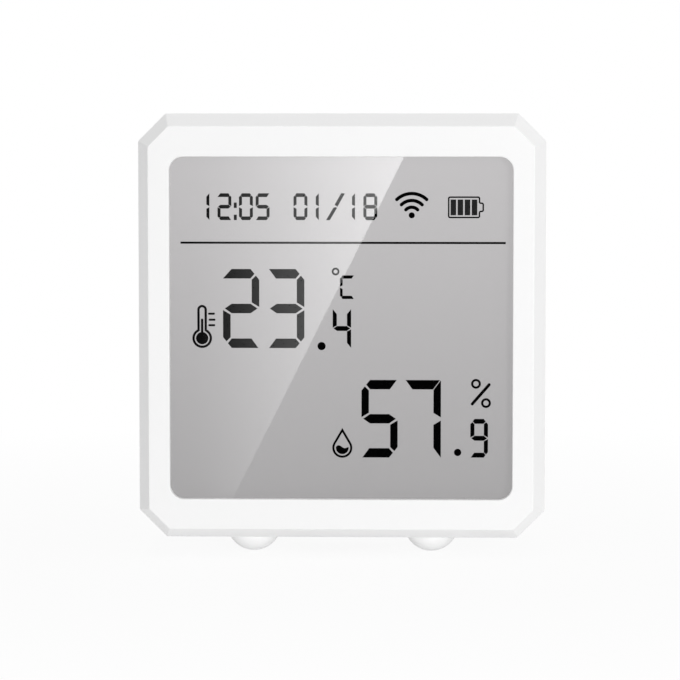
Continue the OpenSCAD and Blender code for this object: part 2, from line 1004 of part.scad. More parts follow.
module battery_door()
    color("White")
    difference() {
        intersection() {
            case_form(0);
            door_shape(0);
        }
        slab(body_d - grip_t, body_d + over)
            for (i = [0:grip_count - 1])
                translate([grip_x - i * grip_pitch, bay_mid])
                rounded(grip_w, grip_l, grip_w / 2 - touch);
    }

// Cells and contacts
module cell()
    rotate([0, 90, 0])
    rotate_extrude()
    let (r = cell_d / 2, round = 0.5, body_l = cell_l - nub_l)
    polygon([
        [0, 0], [r - round, 0], [r, round], [r, body_l - round], [r - 2 * round, body_l],
        [nub_d / 2, body_l], [nub_d / 2, cell_l - round / 2], [nub_d / 2 - round / 2, cell_l],
        [0, cell_l]
    ]);

module cell_upper()
    color("DimGray")
    translate([cell_tip - cell_l, cell_f - half_d, mid_z + upper_v])
    cell();

module cell_lower()
    color("DimGray")
    translate([cell_l - cell_tip, cell_f - half_d, mid_z + lower_v])
    mirror([1, 0, 0])
    cell();

module contact_sheet(x, v) {
    across(x, x + contact_t)
        box2(contact_low, contact_top, v - contact_half, v + contact_half);
    across(x, x + contact_t)
        box2(tail_end, contact_low + over, v - tail_half, v + tail_half);
}

module contact_bump(from, to, v)
    across(from, to)
    translate([cell_f, v])
    circle(d = bump_d);

module contact_negative()
    color("Silver")
    contact_sheet(bay_half - contact_t, lower_v);

module contact_positive()
    color("Silver")
    union() {
        contact_sheet(bay_half - contact_t, upper_v);
        contact_bump(bay_half - contact_t - bump_t, bay_half - touch, upper_v);
    }

module contact_bridge()
    color("Silver")
    union() {
        across(-bay_half, contact_t - bay_half)
            box2(contact_low, contact_top, lower_v - contact_half, upper_v + contact_half);
        contact_bump(touch - bay_half, contact_t + bump_t - bay_half, lower_v);
    }

// Conical springs: one wire, whose ends stand square on what they meet
coil_base = 3.6;
coil_tip = 2.3;
coil_sides = 6;
coil_steps = 12;
coil_ease = 0.12;
coil_rings = ceil(spring_turns * coil_steps);
coil_free = spring_l - 2 * touch;

function eased(t) = let (e = coil_ease, k = 1 / (1 - e))
    t < e ? k * t * t / (2 * e) :
    t > 1 - e ? 1 - k * (1 - t) * (1 - t) / (2 * e) :
    k * (t - e / 2);
function coil_angle(t) = 360 * spring_turns * eased(t);
function coil_radius(t) = coil_base + (coil_tip - coil_base) * eased(t);
function coil_point(t) = [
    coil_radius(t) * cos(coil_angle(t)), coil_radius(t) * sin(coil_angle(t)),
    spring_wire + (coil_free - 2 * spring_wire) * t
];
coil_path = concat(
    [[coil_base, 0, 0]],
    [for (i = [0:coil_rings]) coil_point(i / coil_rings)],
    [[for (c = [0:2]) c == 2 ? coil_free : coil_point(1)[c]]]
);
coil_count = len(coil_path);
function unit(v) = v / norm(v);
function coil_way(i) = i == 0 || i == coil_count - 1 ? [0, 0, 1] :
    unit(coil_path[i + 1] - coil_path[i - 1]);
function coil_ring(i) = let (
    way = coil_way(i),
    out = unit([coil_path[i][0], coil_path[i][1], 0]),
    up = unit(cross(way, out)),
    side = cross(up, way)
) [
    for (k = [0:coil_sides - 1])
        coil_path[i] + spring_wire / 2 * (
            cos(360 * k / coil_sides) * side + sin(360 * k / coil_sides) * up)
];
coil_clear = min([
    for (i = [0:coil_count - 1], j = [i + 1:coil_count - 1])
        if (j - i > coil_steps / 2) norm(coil_path[i] - coil_path[j]) - spring_wire
]);
echo(least_gap_between_spring_turns = coil_clear);

module coil()
    polyhedron(
        points = [for (i = [0:coil_count - 1]) each coil_ring(i)],
        faces = concat(
            [[for (k = [coil_sides - 1:-1:0]) k]],
            [for (i = [0:coil_count - 2], k = [0:coil_sides - 1])
                let (n = (k + 1) % coil_sides, a = i * coil_sides, b = a + coil_sides)
                [a + k, a + n, b + n, b + k]],
            [[for (k = [0:coil_sides - 1]) (coil_count - 1) * coil_sides + k]]
        )
    );

module battery_springs()
    color("Silver") {
        translate([bay_half - contact_t - touch, cell_f - half_d, mid_z + lower_v])
            rotate([0, -90, 0])
            coil();
        translate([contact_t + touch - bay_half, cell_f - half_d, mid_z + upper_v])
            rotate([0, 90, 0])
            coil();
    }

// Rubber feet: a dome outside the case, a stem through the wall and a head inside
module feet()
    color("WhiteSmoke")
    at_feet() {
        intersection() {
            translate([0, 0, foot_c])
                sphere(foot_r);
            cylinder(d = 2 * foot_d, h = foot_h);
        }
        translate([0, 0, foot_h - touch])
            cylinder(d = foot_stem_d, h = wall + 2 * touch + foot_head_t / 2);
        translate([0, 0, foot_h + wall + touch])
            cylinder(d1 = foot_head_d, d2 = foot_tip_d, h = foot_head_t);
    }

front_bezel();
window_tape();
display_window();
lcd_polarizer();
lcd_front_glass();
lcd_rear_glass();
lcd_reflector();
lcd_holder();
zebra_strip();
main_board();
board_screws();
controller_chip();
radio_board();
radio_shield();
climate_sensor();
crystal();
smoothing_capacitor();
inductor();
chip_parts();
switch_body();
switch_plunger();
pairing_button();
rear_cover();
case_screws();
battery_door();
cell_upper();
cell_lower();
contact_negative();
contact_positive();
contact_bridge();
battery_springs();
feet();
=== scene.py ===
"""Looks of a table-top temperature and humidity sensor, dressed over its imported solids.

Lengths are in metres, in the frame of the solids: the display faces -Y, up is +Z and the origin lies
on the table under the middle of the case. Places on the display are given in millimetres from the
middle of its window, to the right and up.
"""

import logging
import math
from abc import ABC, abstractmethod
from dataclasses import dataclass, replace
from enum import Enum
from typing import Any, Callable, Iterable, Sequence, Union

import bmesh
import bpy
from mathutils import Euler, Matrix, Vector


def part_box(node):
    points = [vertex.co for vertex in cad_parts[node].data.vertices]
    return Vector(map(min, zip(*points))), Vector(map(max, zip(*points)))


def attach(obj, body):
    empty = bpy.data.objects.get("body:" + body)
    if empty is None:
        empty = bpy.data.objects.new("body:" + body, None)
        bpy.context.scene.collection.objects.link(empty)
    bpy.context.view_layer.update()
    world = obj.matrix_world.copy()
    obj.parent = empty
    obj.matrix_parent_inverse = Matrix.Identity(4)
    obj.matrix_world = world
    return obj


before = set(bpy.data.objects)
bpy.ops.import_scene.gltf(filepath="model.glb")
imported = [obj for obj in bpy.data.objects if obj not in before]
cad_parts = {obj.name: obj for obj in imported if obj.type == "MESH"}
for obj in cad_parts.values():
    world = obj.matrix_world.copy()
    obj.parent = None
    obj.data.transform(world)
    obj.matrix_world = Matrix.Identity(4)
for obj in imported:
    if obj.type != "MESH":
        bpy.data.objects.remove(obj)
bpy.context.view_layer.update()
LOG = logging.getLogger("sensor")
MM = 0.001
CASE_BODY = "case"
BLACK = (0.0, 0.0, 0.0)
WHITE = (1.0, 1.0, 1.0)
FINE = 3.0
MEAN_NOISE = 0.5
SQUARE_ON = 0.5
CAP_STEPS = 7
LEAST_MITRE = 0.4

Colour = tuple[float, float, float]
Spot = tuple[float, float, float]
Point = tuple[float, float]
Outline = list[Point]
Shape = tuple[Outline, ...]
Key = Union[int, str]
Value = Union["Shade", float]


class Tip(Enum):
    """Where the point of a display segment lies, across its stroke."""

    OUTER = "o"
    MIDDLE = "m"
    INNER = "i"


class Ink(Enum):
    """Inks of the display, by the names of their materials."""

    BLACK = "lit segments"
    GREY = "lit bars"


@dataclass(frozen=True)
class Detail:
    """One kind of unevenness: how wide it is, how many finer ones are added, and how it shows.

    Its share goes into the colour, uneven is how much it changes the roughness, and felt is how much of
    its depth turns the light.
    """

    width: float
    finer: float = 2.0
    share: float = 1.0
    uneven: float = 0.0
    depth: float = 0.0
    felt: float = 0.5


def maths(operation: str, reflected: bool = False) -> Callable[["Shade", Value], "Shade"]:
    """Makes an operator of two values.

    Args:
        operation: Blender's name of what the Math node does.
        reflected: Whether the other value comes first.

    Returns:
        The method that adds the node.
    """
    def method(shade: "Shade", other: Value) -> "Shade":
        """Adds one Math node over both values."""
        values = (other, shade) if reflected else (shade, other)
        return shade.graph.node("ShaderNodeMath", {"operation": operation}, dict(enumerate(values)))

    return method


class Shade:
    """One output of a node, so that shader maths reads as Python expressions."""

    def __init__(self, graph: "Graph", socket: bpy.types.NodeSocket) -> None:
        """Keeps the socket and the graph that it belongs to."""
        self.graph = graph
        self.socket = socket

    __add__ = __radd__ = maths("ADD")
    __mul__ = __rmul__ = maths("MULTIPLY")
    __sub__ = maths("SUBTRACT")
    __rsub__ = maths("SUBTRACT", reflected=True)
    __truediv__ = maths("DIVIDE")
    __rtruediv__ = maths("DIVIDE", reflected=True)
    __pow__ = maths("POWER")
    __rpow__ = maths("POWER", reflected=True)
    __mod__ = maths("FLOORED_MODULO")
    __rmod__ = maths("FLOORED_MODULO", reflected=True)
    __lt__ = maths("LESS_THAN")
    __gt__ = maths("GREATER_THAN")
    most = maths("MAXIMUM")
    least = maths("MINIMUM")

    def __abs__(self) -> "Shade":
        """Size without the sign."""
        return self.graph.node("ShaderNodeMath", {"operation": "ABSOLUTE"}, {0: self})

    def clamped(self) -> "Shade":
        """Kept between nought and one."""
        return self.most(0.0).least(1.0)

    def output(self, key: Key) -> "Shade":
        """Another output of the same node."""
        return Shade(self.graph, self.graph.find(self.socket.node.outputs, key))


class Graph:
    """The nodes of one material or of the world."""

    def __init__(self, owner: Union[bpy.types.Material, bpy.types.World]) -> None:
        """Starts from an empty node tree.

        Args:
            owner: The material or world.
        """
        owner.use_nodes = True
        self.owner = owner
        self.tree = owner.node_tree
        self.tree.nodes.clear()

    @staticmethod
    def find(sockets: bpy.types.bpy_prop_collection, key: Key) -> bpy.types.NodeSocket:
        """Finds a socket.

        Args:
            sockets: Inputs or outputs of a node.
            key: Number, identifier or name of the socket.

        Returns:
            The socket.
        """
        if isinstance(key, int):
            return sockets[key]
        return next(socket for socket in sockets if key in (socket.identifier, socket.name))

    def node(
        self,
        kind: str,
        settings: dict[str, Any] | None = None,
        inputs: dict[Key, Any] | None = None,
        output: Key = 0,
    ) -> Shade:
        """Adds a node.

        Args:
            kind: Blender's name of the node type.
            settings: Attributes that are set before the sockets.
            inputs: Values or links of the sockets, by number, identifier or name.
            output: The output that is handed back, or the input of a node that has no outputs.

        Returns:
            That socket.
        """
        node = self.tree.nodes.new(kind)
        for key, value in (settings or {}).items():
            setattr(node, key, value)
        for key, value in (inputs or {}).items():
            socket = self.find(node.inputs, key)
            if isinstance(value, Shade):
                self.tree.links.new(value.socket, socket)
            elif socket.type == "RGBA":
                socket.default_value = (*value, 1.0)
            else:
                socket.default_value = value
        return Shade(self, self.find(node.outputs or node.inputs, output))

    def place(self) -> Shade:
        """Place on the piece, in metres in the frame of the solids."""
        return self.node("ShaderNodeTexCoord", output="Object")

    def axes(self) -> tuple[Shade, Shade, Shade]:
        """The three coordinates of the place on the piece."""
        split = self.node("ShaderNodeSeparateXYZ", inputs={"Vector": self.place()})
        return split.output("X"), split.output("Y"), split.output("Z")

    def stretched(self, along: Spot) -> Shade:
        """The place on the piece, drawn out by a factor for each axis."""
        return self.node("ShaderNodeVectorMath", {"operation": "MULTIPLY"}, {0: self.place(), 1: along})

    def noise(self, detail: Detail, place: Shade | None = None) -> Shade:
        """Cloudy values between nought and one, read at the place on the piece unless one is given."""
        inputs = {"Vector": place or self.place(), "Scale": 1.0 / detail.width, "Detail": detail.finer}
        return self.node("ShaderNodeTexNoise", inputs=inputs)

    def cells(self, width: float) -> Shade:
        """Distance to the nearest of scattered points that lie about one width apart."""
        return self.node("ShaderNodeTexVoronoi", inputs={"Vector": self.place(), "Scale": 1.0 / width})

    def mix(self, low: Any, high: Any, share: Value) -> Shade:
        """Blends two colours, from the first where the share is nought to the second."""
        inputs = {"Factor_Float": share, "A_Color": low, "B_Color": high}
        return self.node("ShaderNodeMix", {"data_type": "RGBA"}, inputs, "Result_Color")

    def tones(self, colour: Colour, low: float, high: float, share: Value) -> Shade:
        """A colour that goes from one factor of itself to another with a share."""
        return self.mix(scaled(colour, low), scaled(colour, high), share)

    def bump(self, height: Shade, detail: Detail) -> Shade:
        """Surface direction of a relief between nought and one that is as deep as a detail."""
        inputs = {"Strength": detail.felt, "Distance": detail.depth, "Height": height}
        return self.node("ShaderNodeBump", inputs=inputs)

    def facing(self) -> Shade:
        """How much the surface faces to the back: minus one on the front, one on the back."""
        normal = self.node("ShaderNodeNewGeometry", output="Normal")
        return self.node("ShaderNodeSeparateXYZ", inputs={"Vector": normal}, output="Y")

    def seen(self) -> Shade:
        """One for rays that show the backdrop: from the camera, off a mirror or through a window."""
        rays = self.node("ShaderNodeLightPath", output="Is Camera Ray")
        return (rays + rays.output("Is Glossy Ray") + rays.output("Is Transmission Ray")).clamped()

    def shader(self, **inputs: Any) -> Shade:
        """Adds a Principled shader, whose sockets are named with _ in place of a space."""
        named = {key.replace("_", " "): value for key, value in inputs.items()}
        return self.node("ShaderNodeBsdfPrincipled", inputs=named)

    def blend(self, first: Shade, second: Shade, share: Shade) -> Shade:
        """Blends two shaders, from the first where the share is nought to the second."""
        return self.node("ShaderNodeMixShader", inputs={0: share, 1: first, 2: second})

    def surface(self, shader: Shade) -> Any:
        """Ends the graph in a shader.

        Args:
            shader: What the surface or the room shows.

        Returns:
            The material or world that the graph belongs to.
        """
        world = isinstance(self.owner, bpy.types.World)
        kind = "ShaderNodeOutputWorld" if world else "ShaderNodeOutputMaterial"
        self.node(kind, inputs={"Surface": shader})
        return self.owner


def scaled(colour: Colour, factor: float) -> Colour:
    """A colour made darker or paler by a factor, kept within white."""
    return tuple(min(1.0, channel * factor) for channel in colour)


class Finish(ABC):
    """What a piece is made of, as it looks."""

    @abstractmethod
    def nodes(self, graph: Graph) -> Shade:
        """Builds the finish in a graph and hands back its shader."""

    def material(self, name: str) -> bpy.types.Material:
        """The finish as a material of the given name."""
        graph = Graph(bpy.data.materials.new(name))
        return graph.surface(self.nodes(graph))


@dataclass(frozen=True)
class SlideArrow:
    """Arrow head printed on the back of a piece, pointing along X."""

    foot: float
    tip: float
    middle: float
    half: float
    shade: float = 0.6
    back_from: float = 0.9

    def inside(self, graph: Graph) -> Shade:
        """Marks the arrow head.

        Args:
            graph: Where its nodes go.

        Returns:
            One within the arrow head on the back face, and nought elsewhere.
        """
        x, _, z = graph.axes()
        reach = (self.tip - x) * (self.half / (self.tip - self.foot))
        return (abs(z - self.middle) < reach) * (x > self.foot) * (graph.facing() > self.back_from)


@dataclass(frozen=True)
class MouldedPlastic(Finish):
    """Satin plastic from a spark-eroded mould, with an arrow printed on it where one is given.

    Its roughness is the mean one, about which the grain changes it.
    """

    colour: Colour
    roughness: float = 0.46
    dark: float = 0.98
    shine: float = 0.42
    grain: Detail = Detail(0.16 * MM, share=0.3, uneven=0.12, depth=0.004 * MM, felt=0.6)
    cloud: Detail = Detail(14 * MM, FINE, share=0.7)
    arrow: SlideArrow | None = None

    def nodes(self, graph: Graph) -> Shade:
        """Builds the plastic.

        Args:
            graph: Where its nodes go.

        Returns:
            Its shader.
        """
        grain = graph.noise(self.grain)
        share = graph.noise(self.cloud) * self.cloud.share + grain * self.grain.share
        tint = graph.tones(self.colour, self.dark, 1.0, share)
        if self.arrow:
            tint = graph.mix(tint, scaled(self.colour, self.arrow.shade), self.arrow.inside(graph))
        return graph.shader(
            Base_Color=tint,
            Roughness=self.roughness + (grain - MEAN_NOISE) * self.grain.uneven,
            Normal=graph.bump(grain, self.grain),
            Specular_IOR_Level=self.shine,
        )


@dataclass(frozen=True)
class SoftRubber(MouldedPlastic):
    """Soft white rubber, a little cloudy and finely pitted."""

    roughness: float = 0.45
    dark: float = 0.96
    shine: float = 0.5
    grain: Detail = Detail(0.25 * MM, FINE, share=0.0, uneven=0.1, depth=0.006 * MM)
    cloud: Detail = Detail(3 * MM)


@dataclass(frozen=True)
class ClearSheet(Finish):
    """Clear sheet whose front mirrors lamps by its angle, and which shows what lies behind it."""

    tint: Colour
    ior: float = 1.49
    roughness: float = 0.02
    clean: float = 0.94
    smear: Detail = Detail(9 * MM, FINE, share=0.12)

    def nodes(self, graph: Graph) -> Shade:
        """Builds the sheet.

        Args:
            graph: Where its nodes go.

        Returns:
            Its shader.
        """
        inside = graph.node("ShaderNodeNewGeometry", output="Backfacing")
        front = (graph.facing() < -SQUARE_ON) * (1.0 - inside)
        smeared = self.clean + graph.noise(self.smear) * self.smear.share
        mirror = graph.node("ShaderNodeFresnel", inputs={"IOR": self.ior}) * front * smeared
        clear = graph.node("ShaderNodeBsdfTransparent", inputs={"Color": self.tint})
        gloss = graph.node("ShaderNodeBsdfAnisotropic", inputs={"Roughness": self.roughness})
        return graph.blend(clear, gloss, mirror)


@dataclass(frozen=True)
class PanelFilm(Finish):
    """Grey polarising film, paler at the top and darker towards the foot of the panel. This gradient is
    painted light.

    Most of its light is a painted glow: the film emits light. The glow stands in for the light that the
    reflector behind the glass sends back evenly.
    """

    # top and foot are greys whose difference paints light onto the film: paler at the top, darker at the
    # foot
    top: Colour
    foot: Colour
    low: float
    high: float
    # glow is the share of the grey painted in as emitted light; matt is the share that the lamps light
    glow: float = 0.88
    matt: float = 0.2
    roughness: float = 0.5
    shine: float = 0.1
    gloss: float = 0.68
    gloss_roughness: float = 0.02
    grain: Detail = Detail(0.09 * MM, share=0.05, uneven=0.1, depth=0.001 * MM, felt=0.4)

    def _painted_grey(self, graph: Graph, rise: Shade, factor: float) -> Shade:
        """A factor of the film's grey, from its foot to its top, carrying the painted gradient of light.
        """
        return graph.mix(scaled(self.foot, factor), scaled(self.top, factor), rise)

    def nodes(self, graph: Graph) -> Shade:
        """Builds the film.

        Args:
            graph: Where its nodes go.

        Returns:
            Its shader.
        """
        _, _, z = graph.axes()
        grain = graph.noise(self.grain)
        # painted gradient of light: the film grows paler towards the top
        rise = ((z - self.low) / (self.high - self.low)).clamped()
        rise = rise + (grain - MEAN_NOISE) * self.grain.share
        return graph.shader(
            Base_Color=self._painted_grey(graph, rise, self.matt),
            # painted glow: the film emits light though it is no lamp
            Emission_Color=self._painted_grey(graph, rise, self.glow),
            Emission_Strength=1.0,
            Roughness=self.roughness + grain * self.grain.uneven,
            Normal=graph.bump(grain, self.grain),
            Specular_IOR_Level=self.shine,
            Coat_Weight=self.gloss,
            Coat_Roughness=self.gloss_roughness,
        )


@dataclass(frozen=True)
class SegmentInk(Finish):
    """Dark liquid-crystal segment with a faint unevenness."""

    colour: Colour
    roughness: float = 0.5
    pale: float = 1.5
    cloud: Detail = Detail(0.4 * MM, uneven=0.15)

    def nodes(self, graph: Graph) -> Shade:
        """Builds the segment.

        Args:
            graph: Where its nodes go.

        Returns:
            Its shader.
        """
        cloud = graph.noise(self.cloud)
        return graph.shader(
            Base_Color=graph.tones(self.colour, 1.0, self.pale, cloud),
            Roughness=self.roughness + cloud * self.cloud.uneven,
            Specular_IOR_Level=0.0,
        )


@dataclass(frozen=True)
class FoamTape(Finish):
    """Foam with open pores."""

    colour: Colour
    roughness: float = 0.95
    dark: float = 0.6
    contrast: float = 1.6
    pore: Detail = Detail(0.12 * MM, uneven=0.1, depth=0.03 * MM, felt=1.0)

    def nodes(self, graph: Graph) -> Shade:
        """Builds the foam.

        Args:
            graph: Where its nodes go.

        Returns:
            Its shader.
        """
        pores = (graph.cells(self.pore.width) * self.contrast).clamped()
        return graph.shader(
            Base_Color=graph.tones(self.colour, self.dark, 1.0, pores),
            Roughness=self.roughness - pores * self.pore.uneven,
            Normal=graph.bump(pores, self.pore),
        )


@dataclass(frozen=True)
class PlatedMetal(Finish):
    """Plated sheet or wire with fine drawing lines along one axis and a faint bloom."""

    colour: Colour
    roughness: float
    along: Spot
    dark: float = 0.75
    least_metal: float = 0.94
    line: Detail = Detail(0.06 * MM, FINE, share=0.4, uneven=0.16, depth=0.002 * MM)
    bloom: Detail = Detail(2.5 * MM, finer=4.0, share=0.6, uneven=0.06)

    def nodes(self, graph: Graph) -> Shade:
        """Builds the metal.

        Args:
            graph: Where its nodes go.

        Returns:
            Its shader.
        """
        lines = graph.noise(self.line, graph.stretched(self.along))
        bloom = graph.noise(self.bloom)
        share = bloom * self.bloom.share + lines * self.line.share
        return graph.shader(
            Base_Color=graph.tones(self.colour, self.dark, 1.0, share),
            Metallic=self.least_metal + lines * (1.0 - self.least_metal),
            Roughness=self.roughness + lines * self.line.uneven + bloom * self.bloom.uneven,
            Normal=graph.bump(lines, self.line),
        )


@dataclass(frozen=True)
class LayeredRubber(Finish):
    """Connector rubber: dark conducting layers between pale ones."""

    dark: Colour
    pale: Colour
    pitch: float
    roughness: float = 0.7
    grain: Detail = Detail(0.1 * MM, share=0.2, uneven=0.15)

    def nodes(self, graph: Graph) -> Shade:
        """Builds the rubber.

        Args:
            graph: Where its nodes go.

        Returns:
            Its shader.
        """
        x, _, _ = graph.axes()
        layer = (x % self.pitch) < self.pitch / 2
        grain = graph.noise(self.grain)
        share = layer * (1.0 - self.grain.share + grain * self.grain.share)
        return graph.shader(
            Base_Color=graph.mix(self.dark, self.pale, share),
            Roughness=self.roughness + grain * self.grain.uneven,
        )


@dataclass(frozen=True)
class SolderMask(Finish):
    """Circuit board: tracks and plated holes under a coloured lacquer, bare laminate at the edges.

    Tracks run upright in some patches and level in others. Their width is a share of their pitch, and
    the radius of a hole is a share of the holes' pitch.
    """

    lacquer: Colour
    laminate: Colour
    plating: Colour
    pitch: float
    track: Detail = Detail(0.32, depth=0.03 * MM)
    track_pale: float = 1.8
    upright_patch: Detail = Detail(4 * MM, finer=0.0)
    upright_from: float = 0.5
    level_patch: Detail = Detail(6 * MM, finer=0.0)
    level_below: float = 0.45
    hole_pitch: float = 3.4 * MM
    hole_radius: float = 0.09
    hole_metal: float = 0.9
    roughness: float = 0.38
    edge_roughness: float = 0.3
    grain: Detail = Detail(0.2 * MM, uneven=0.12)

    def _lines(self, place: Shade) -> Shade:
        """One on tracks that lie a pitch apart along one axis."""
        return abs((place % self.pitch) - self.pitch / 2) < self.pitch * self.track.width / 2

    def nodes(self, graph: Graph) -> Shade:
        """Builds the board.

        Args:
            graph: Where its nodes go.

        Returns:
            Its shader.
        """
        x, _, z = graph.axes()
        upright = self._lines(x) * (graph.noise(self.upright_patch) > self.upright_from)
        level = self._lines(z) * (graph.noise(self.level_patch) < self.level_below)
        track = upright.most(level)
        hole = graph.cells(self.hole_pitch) < self.hole_radius
        face = abs(graph.facing()) > SQUARE_ON
        coat = graph.mix(graph.tones(self.lacquer, 1.0, self.track_pale, track), self.plating, hole)
        grain = graph.noise(self.grain)
        return graph.shader(
            Base_Color=graph.mix(self.laminate, coat, face),
            Roughness=self.roughness + grain * self.grain.uneven + (1.0 - face) * self.edge_roughness,
            Metallic=hole * face * self.hole_metal,
            Normal=graph.bump(track, self.track),
        )


@dataclass(frozen=True)
class ChipCase(Finish):
    """Moulded black epoxy of a chip, with a pale mark in a corner and tinned leads outside its case."""

    colour: Colour
    tin: Colour
    centre: Point
    half: float
    mark: Colour = (0.3, 0.3, 0.3)
    mark_place: float = 0.72
    mark_radius: float = 0.11
    roughness: float = 0.62
    lead_smooth: float = 0.3
    pale: float = 1.8
    grain: Detail = Detail(0.12 * MM, FINE, uneven=0.15, depth=0.006 * MM)

    def nodes(self, graph: Graph) -> Shade:
        """Builds the chip.

        Args:
            graph: Where its nodes go.

        Returns:
            Its shader.
        """
        x, _, z = graph.axes()
        dx = x - self.centre[0]
        dz = z - self.centre[1]
        lead = abs(dx).most(abs(dz)) > self.half
        away = self.half * self.mark_place
        mark = ((dx + away) ** 2.0 + (dz - away) ** 2.0) < (self.mark_radius * self.half) ** 2
        grain = graph.noise(self.grain)
        case = graph.mix(graph.tones(self.colour, 1.0, self.pale, grain), self.mark, mark)
        return graph.shader(
            Base_Color=graph.mix(case, self.tin, lead),
            Metallic=lead,
            Roughness=self.roughness + grain * self.grain.uneven - lead * self.lead_smooth,
            Normal=graph.bump(grain, self.grain),
        )


@dataclass(frozen=True)
class BandedPart(Finish):
    """Small part with a dark base next to the board and a metal cap from a depth on."""

    base: Colour
    cap: Colour
    cap_from: float
    roughness: float = 0.55
    cap_smooth: float = 0.25
    along: Spot = (1.0, 1.0, 0.1)
    line: Detail = Detail(0.08 * MM, FINE, share=0.2, uneven=0.15, depth=0.003 * MM)

    def nodes(self, graph: Graph) -> Shade:
        """Builds the part.

        Args:
            graph: Where its nodes go.

        Returns:
            Its shader.
        """
        _, y, _ = graph.axes()
        above = y > self.cap_from
        lines = graph.noise(self.line, graph.stretched(self.along))
        share = above * (1.0 - self.line.share + lines * self.line.share)
        return graph.shader(
            Base_Color=graph.mix(self.base, self.cap, share),
            Metallic=above,
            Roughness=self.roughness - above * self.cap_smooth + lines * self.line.uneven,
            Normal=graph.bump(lines, self.line),
        )


@dataclass(frozen=True)
class EndCapped(Finish):
    """Chip resistors and capacitors in two rows: a ceramic body with tinned ends."""

    body: Colour
    tin: Colour
    rows: Point
    half: float
    roughness: float = 0.5
    tin_smooth: float = 0.15
    dark: float = 0.75
    grain: Detail = Detail(0.15 * MM, uneven=0.1)

    def nodes(self, graph: Graph) -> Shade:
        """Builds the parts.

        Args:
            graph: Where their nodes go.

        Returns:
            Their shader.
        """
        _, _, z = graph.axes()
        lower = abs(z - self.rows[0])
        upper = abs(z - self.rows[1])
        near = (lower < 2 * self.half) * lower + (upper < 2 * self.half) * upper
        end = near > self.half
        grain = graph.noise(self.grain)
        return graph.shader(
            Base_Color=graph.mix(graph.tones(self.body, self.dark, 1.0, grain), self.tin, end),
            Metallic=end,
            Roughness=self.roughness - end * self.tin_smooth + grain * self.grain.uneven,
        )


@dataclass(frozen=True)
class WoundDrum(Finish):
    """Ferrite drum whose groove shows a copper winding."""

    ferrite: Colour
    copper: Colour
    centre: Point
    inner: float
    outer: float
    roughness: float = 0.6
    pale: float = 1.6
    wire_metal: float = 0.9
    wire_smooth: float = 0.3
    wire: Detail = Detail(0.2 * MM, depth=0.05 * MM, felt=0.6)
    grain: Detail = Detail(0.2 * MM, FINE, share=0.1, uneven=0.1)

    def nodes(self, graph: Graph) -> Shade:
        """Builds the drum.

        Args:
            graph: Where its nodes go.

        Returns:
            Its shader.
        """
        x, _, z = graph.axes()
        reach = ((x - self.centre[0]) ** 2.0 + (z - self.centre[1]) ** 2.0) ** 0.5
        groove = (reach > self.inner) * (reach < self.outer)
        wire = (reach % self.wire.width) / self.wire.width
        grain = graph.noise(self.grain)
        body = graph.tones(self.ferrite, 1.0, self.pale, grain)
        return graph.shader(
            Base_Color=graph.mix(body, self.copper, groove),
            Metallic=groove * self.wire_metal,
            Roughness=self.roughness - groove * self.wire_smooth + grain * self.grain.uneven,
            Normal=graph.bump(wire * groove + grain * self.grain.share, self.wire),
        )


@dataclass(frozen=True)
class CellJacket(Finish):
    """Printed sleeve of a battery cell: plain bands, its two signs and bare metal ends.

    Places along the cell are shares of its length, counted from its minus end.
    """

    sleeve: Colour
    band: Colour
    steel: Colour
    plus: float
    minus: float
    axis: Point
    band_span: Point = (0.7, 0.965)
    line_span: Point = (0.665, 0.685)
    sleeve_span: Point = (0.012, 0.966)
    plus_place: float = 0.86
    minus_place: float = 0.07
    arm: float = 1.5 * MM
    stroke: float = 0.32 * MM
    dark: float = 0.8
    band_metal: float = 0.6
    roughness: float = 0.3
    lacquer: float = 0.4
    lacquer_roughness: float = 0.2
    fleck: Detail = Detail(0.12 * MM, uneven=0.12)
    cloud: Detail = Detail(5 * MM, depth=0.03 * MM, felt=0.4)

    def _bar(self, x: Shade, z: Shade, share: float, half: Point) -> Shade:
        """One within an upright or level bar of a sign, at a share of the cell's length."""
        place = self.minus + share * (self.plus - self.minus)
        return (abs(x - place) < half[0]) * (abs(z - self.axis[1]) < half[1])

    def _signs(self, x: Shade, y: Shade, z: Shade) -> tuple[Shade, Shade]:
        """Marks both signs on the side that faces the door.

        Args:
            x: Place along the cell.
            y: Place towards the door.
            z: Height.

        Returns:
            One within the plus sign, and one within the minus sign.
        """
        outside = y > self.axis[0]
        level = self._bar(x, z, self.plus_place, (self.arm, self.stroke))
        upright = self._bar(x, z, self.plus_place, (self.stroke, self.arm))
        minus = self._bar(x, z, self.minus_place, (self.arm, self.stroke))
        return level.most(upright) * outside, minus * outside

    def nodes(self, graph: Graph) -> Shade:
        """Builds the sleeve.

        Args:
            graph: Where its nodes go.

        Returns:
            Its shader.
        """
        x, y, z = graph.axes()
        along = (x - self.minus) / (self.plus - self.minus)
        band = (along > self.band_span[0]) * (along < self.band_span[1])
        line = (along > self.line_span[0]) * (along < self.line_span[1])
        end = ((along > self.sleeve_span[1]) + (along < self.sleeve_span[0])).clamped()
        plus, minus = self._signs(x, y, z)
        fleck = graph.noise(self.fleck)
        cloud = graph.noise(self.cloud)
        sleeve = graph.tones(self.sleeve, self.dark, 1.0, cloud)
        sleeve = graph.mix(sleeve, self.band, band.most(line).most(minus))
        sleeve = graph.mix(sleeve, self.sleeve, plus)
        return graph.shader(
            Base_Color=graph.mix(sleeve, self.steel, end),
            Metallic=(end + band * self.band_metal).clamped(),
            Roughness=self.roughness + fleck * self.fleck.uneven,
            Normal=graph.bump(cloud, self.cloud),
            Coat_Weight=self.lacquer,
            Coat_Roughness=self.lacquer_roughness,
        )


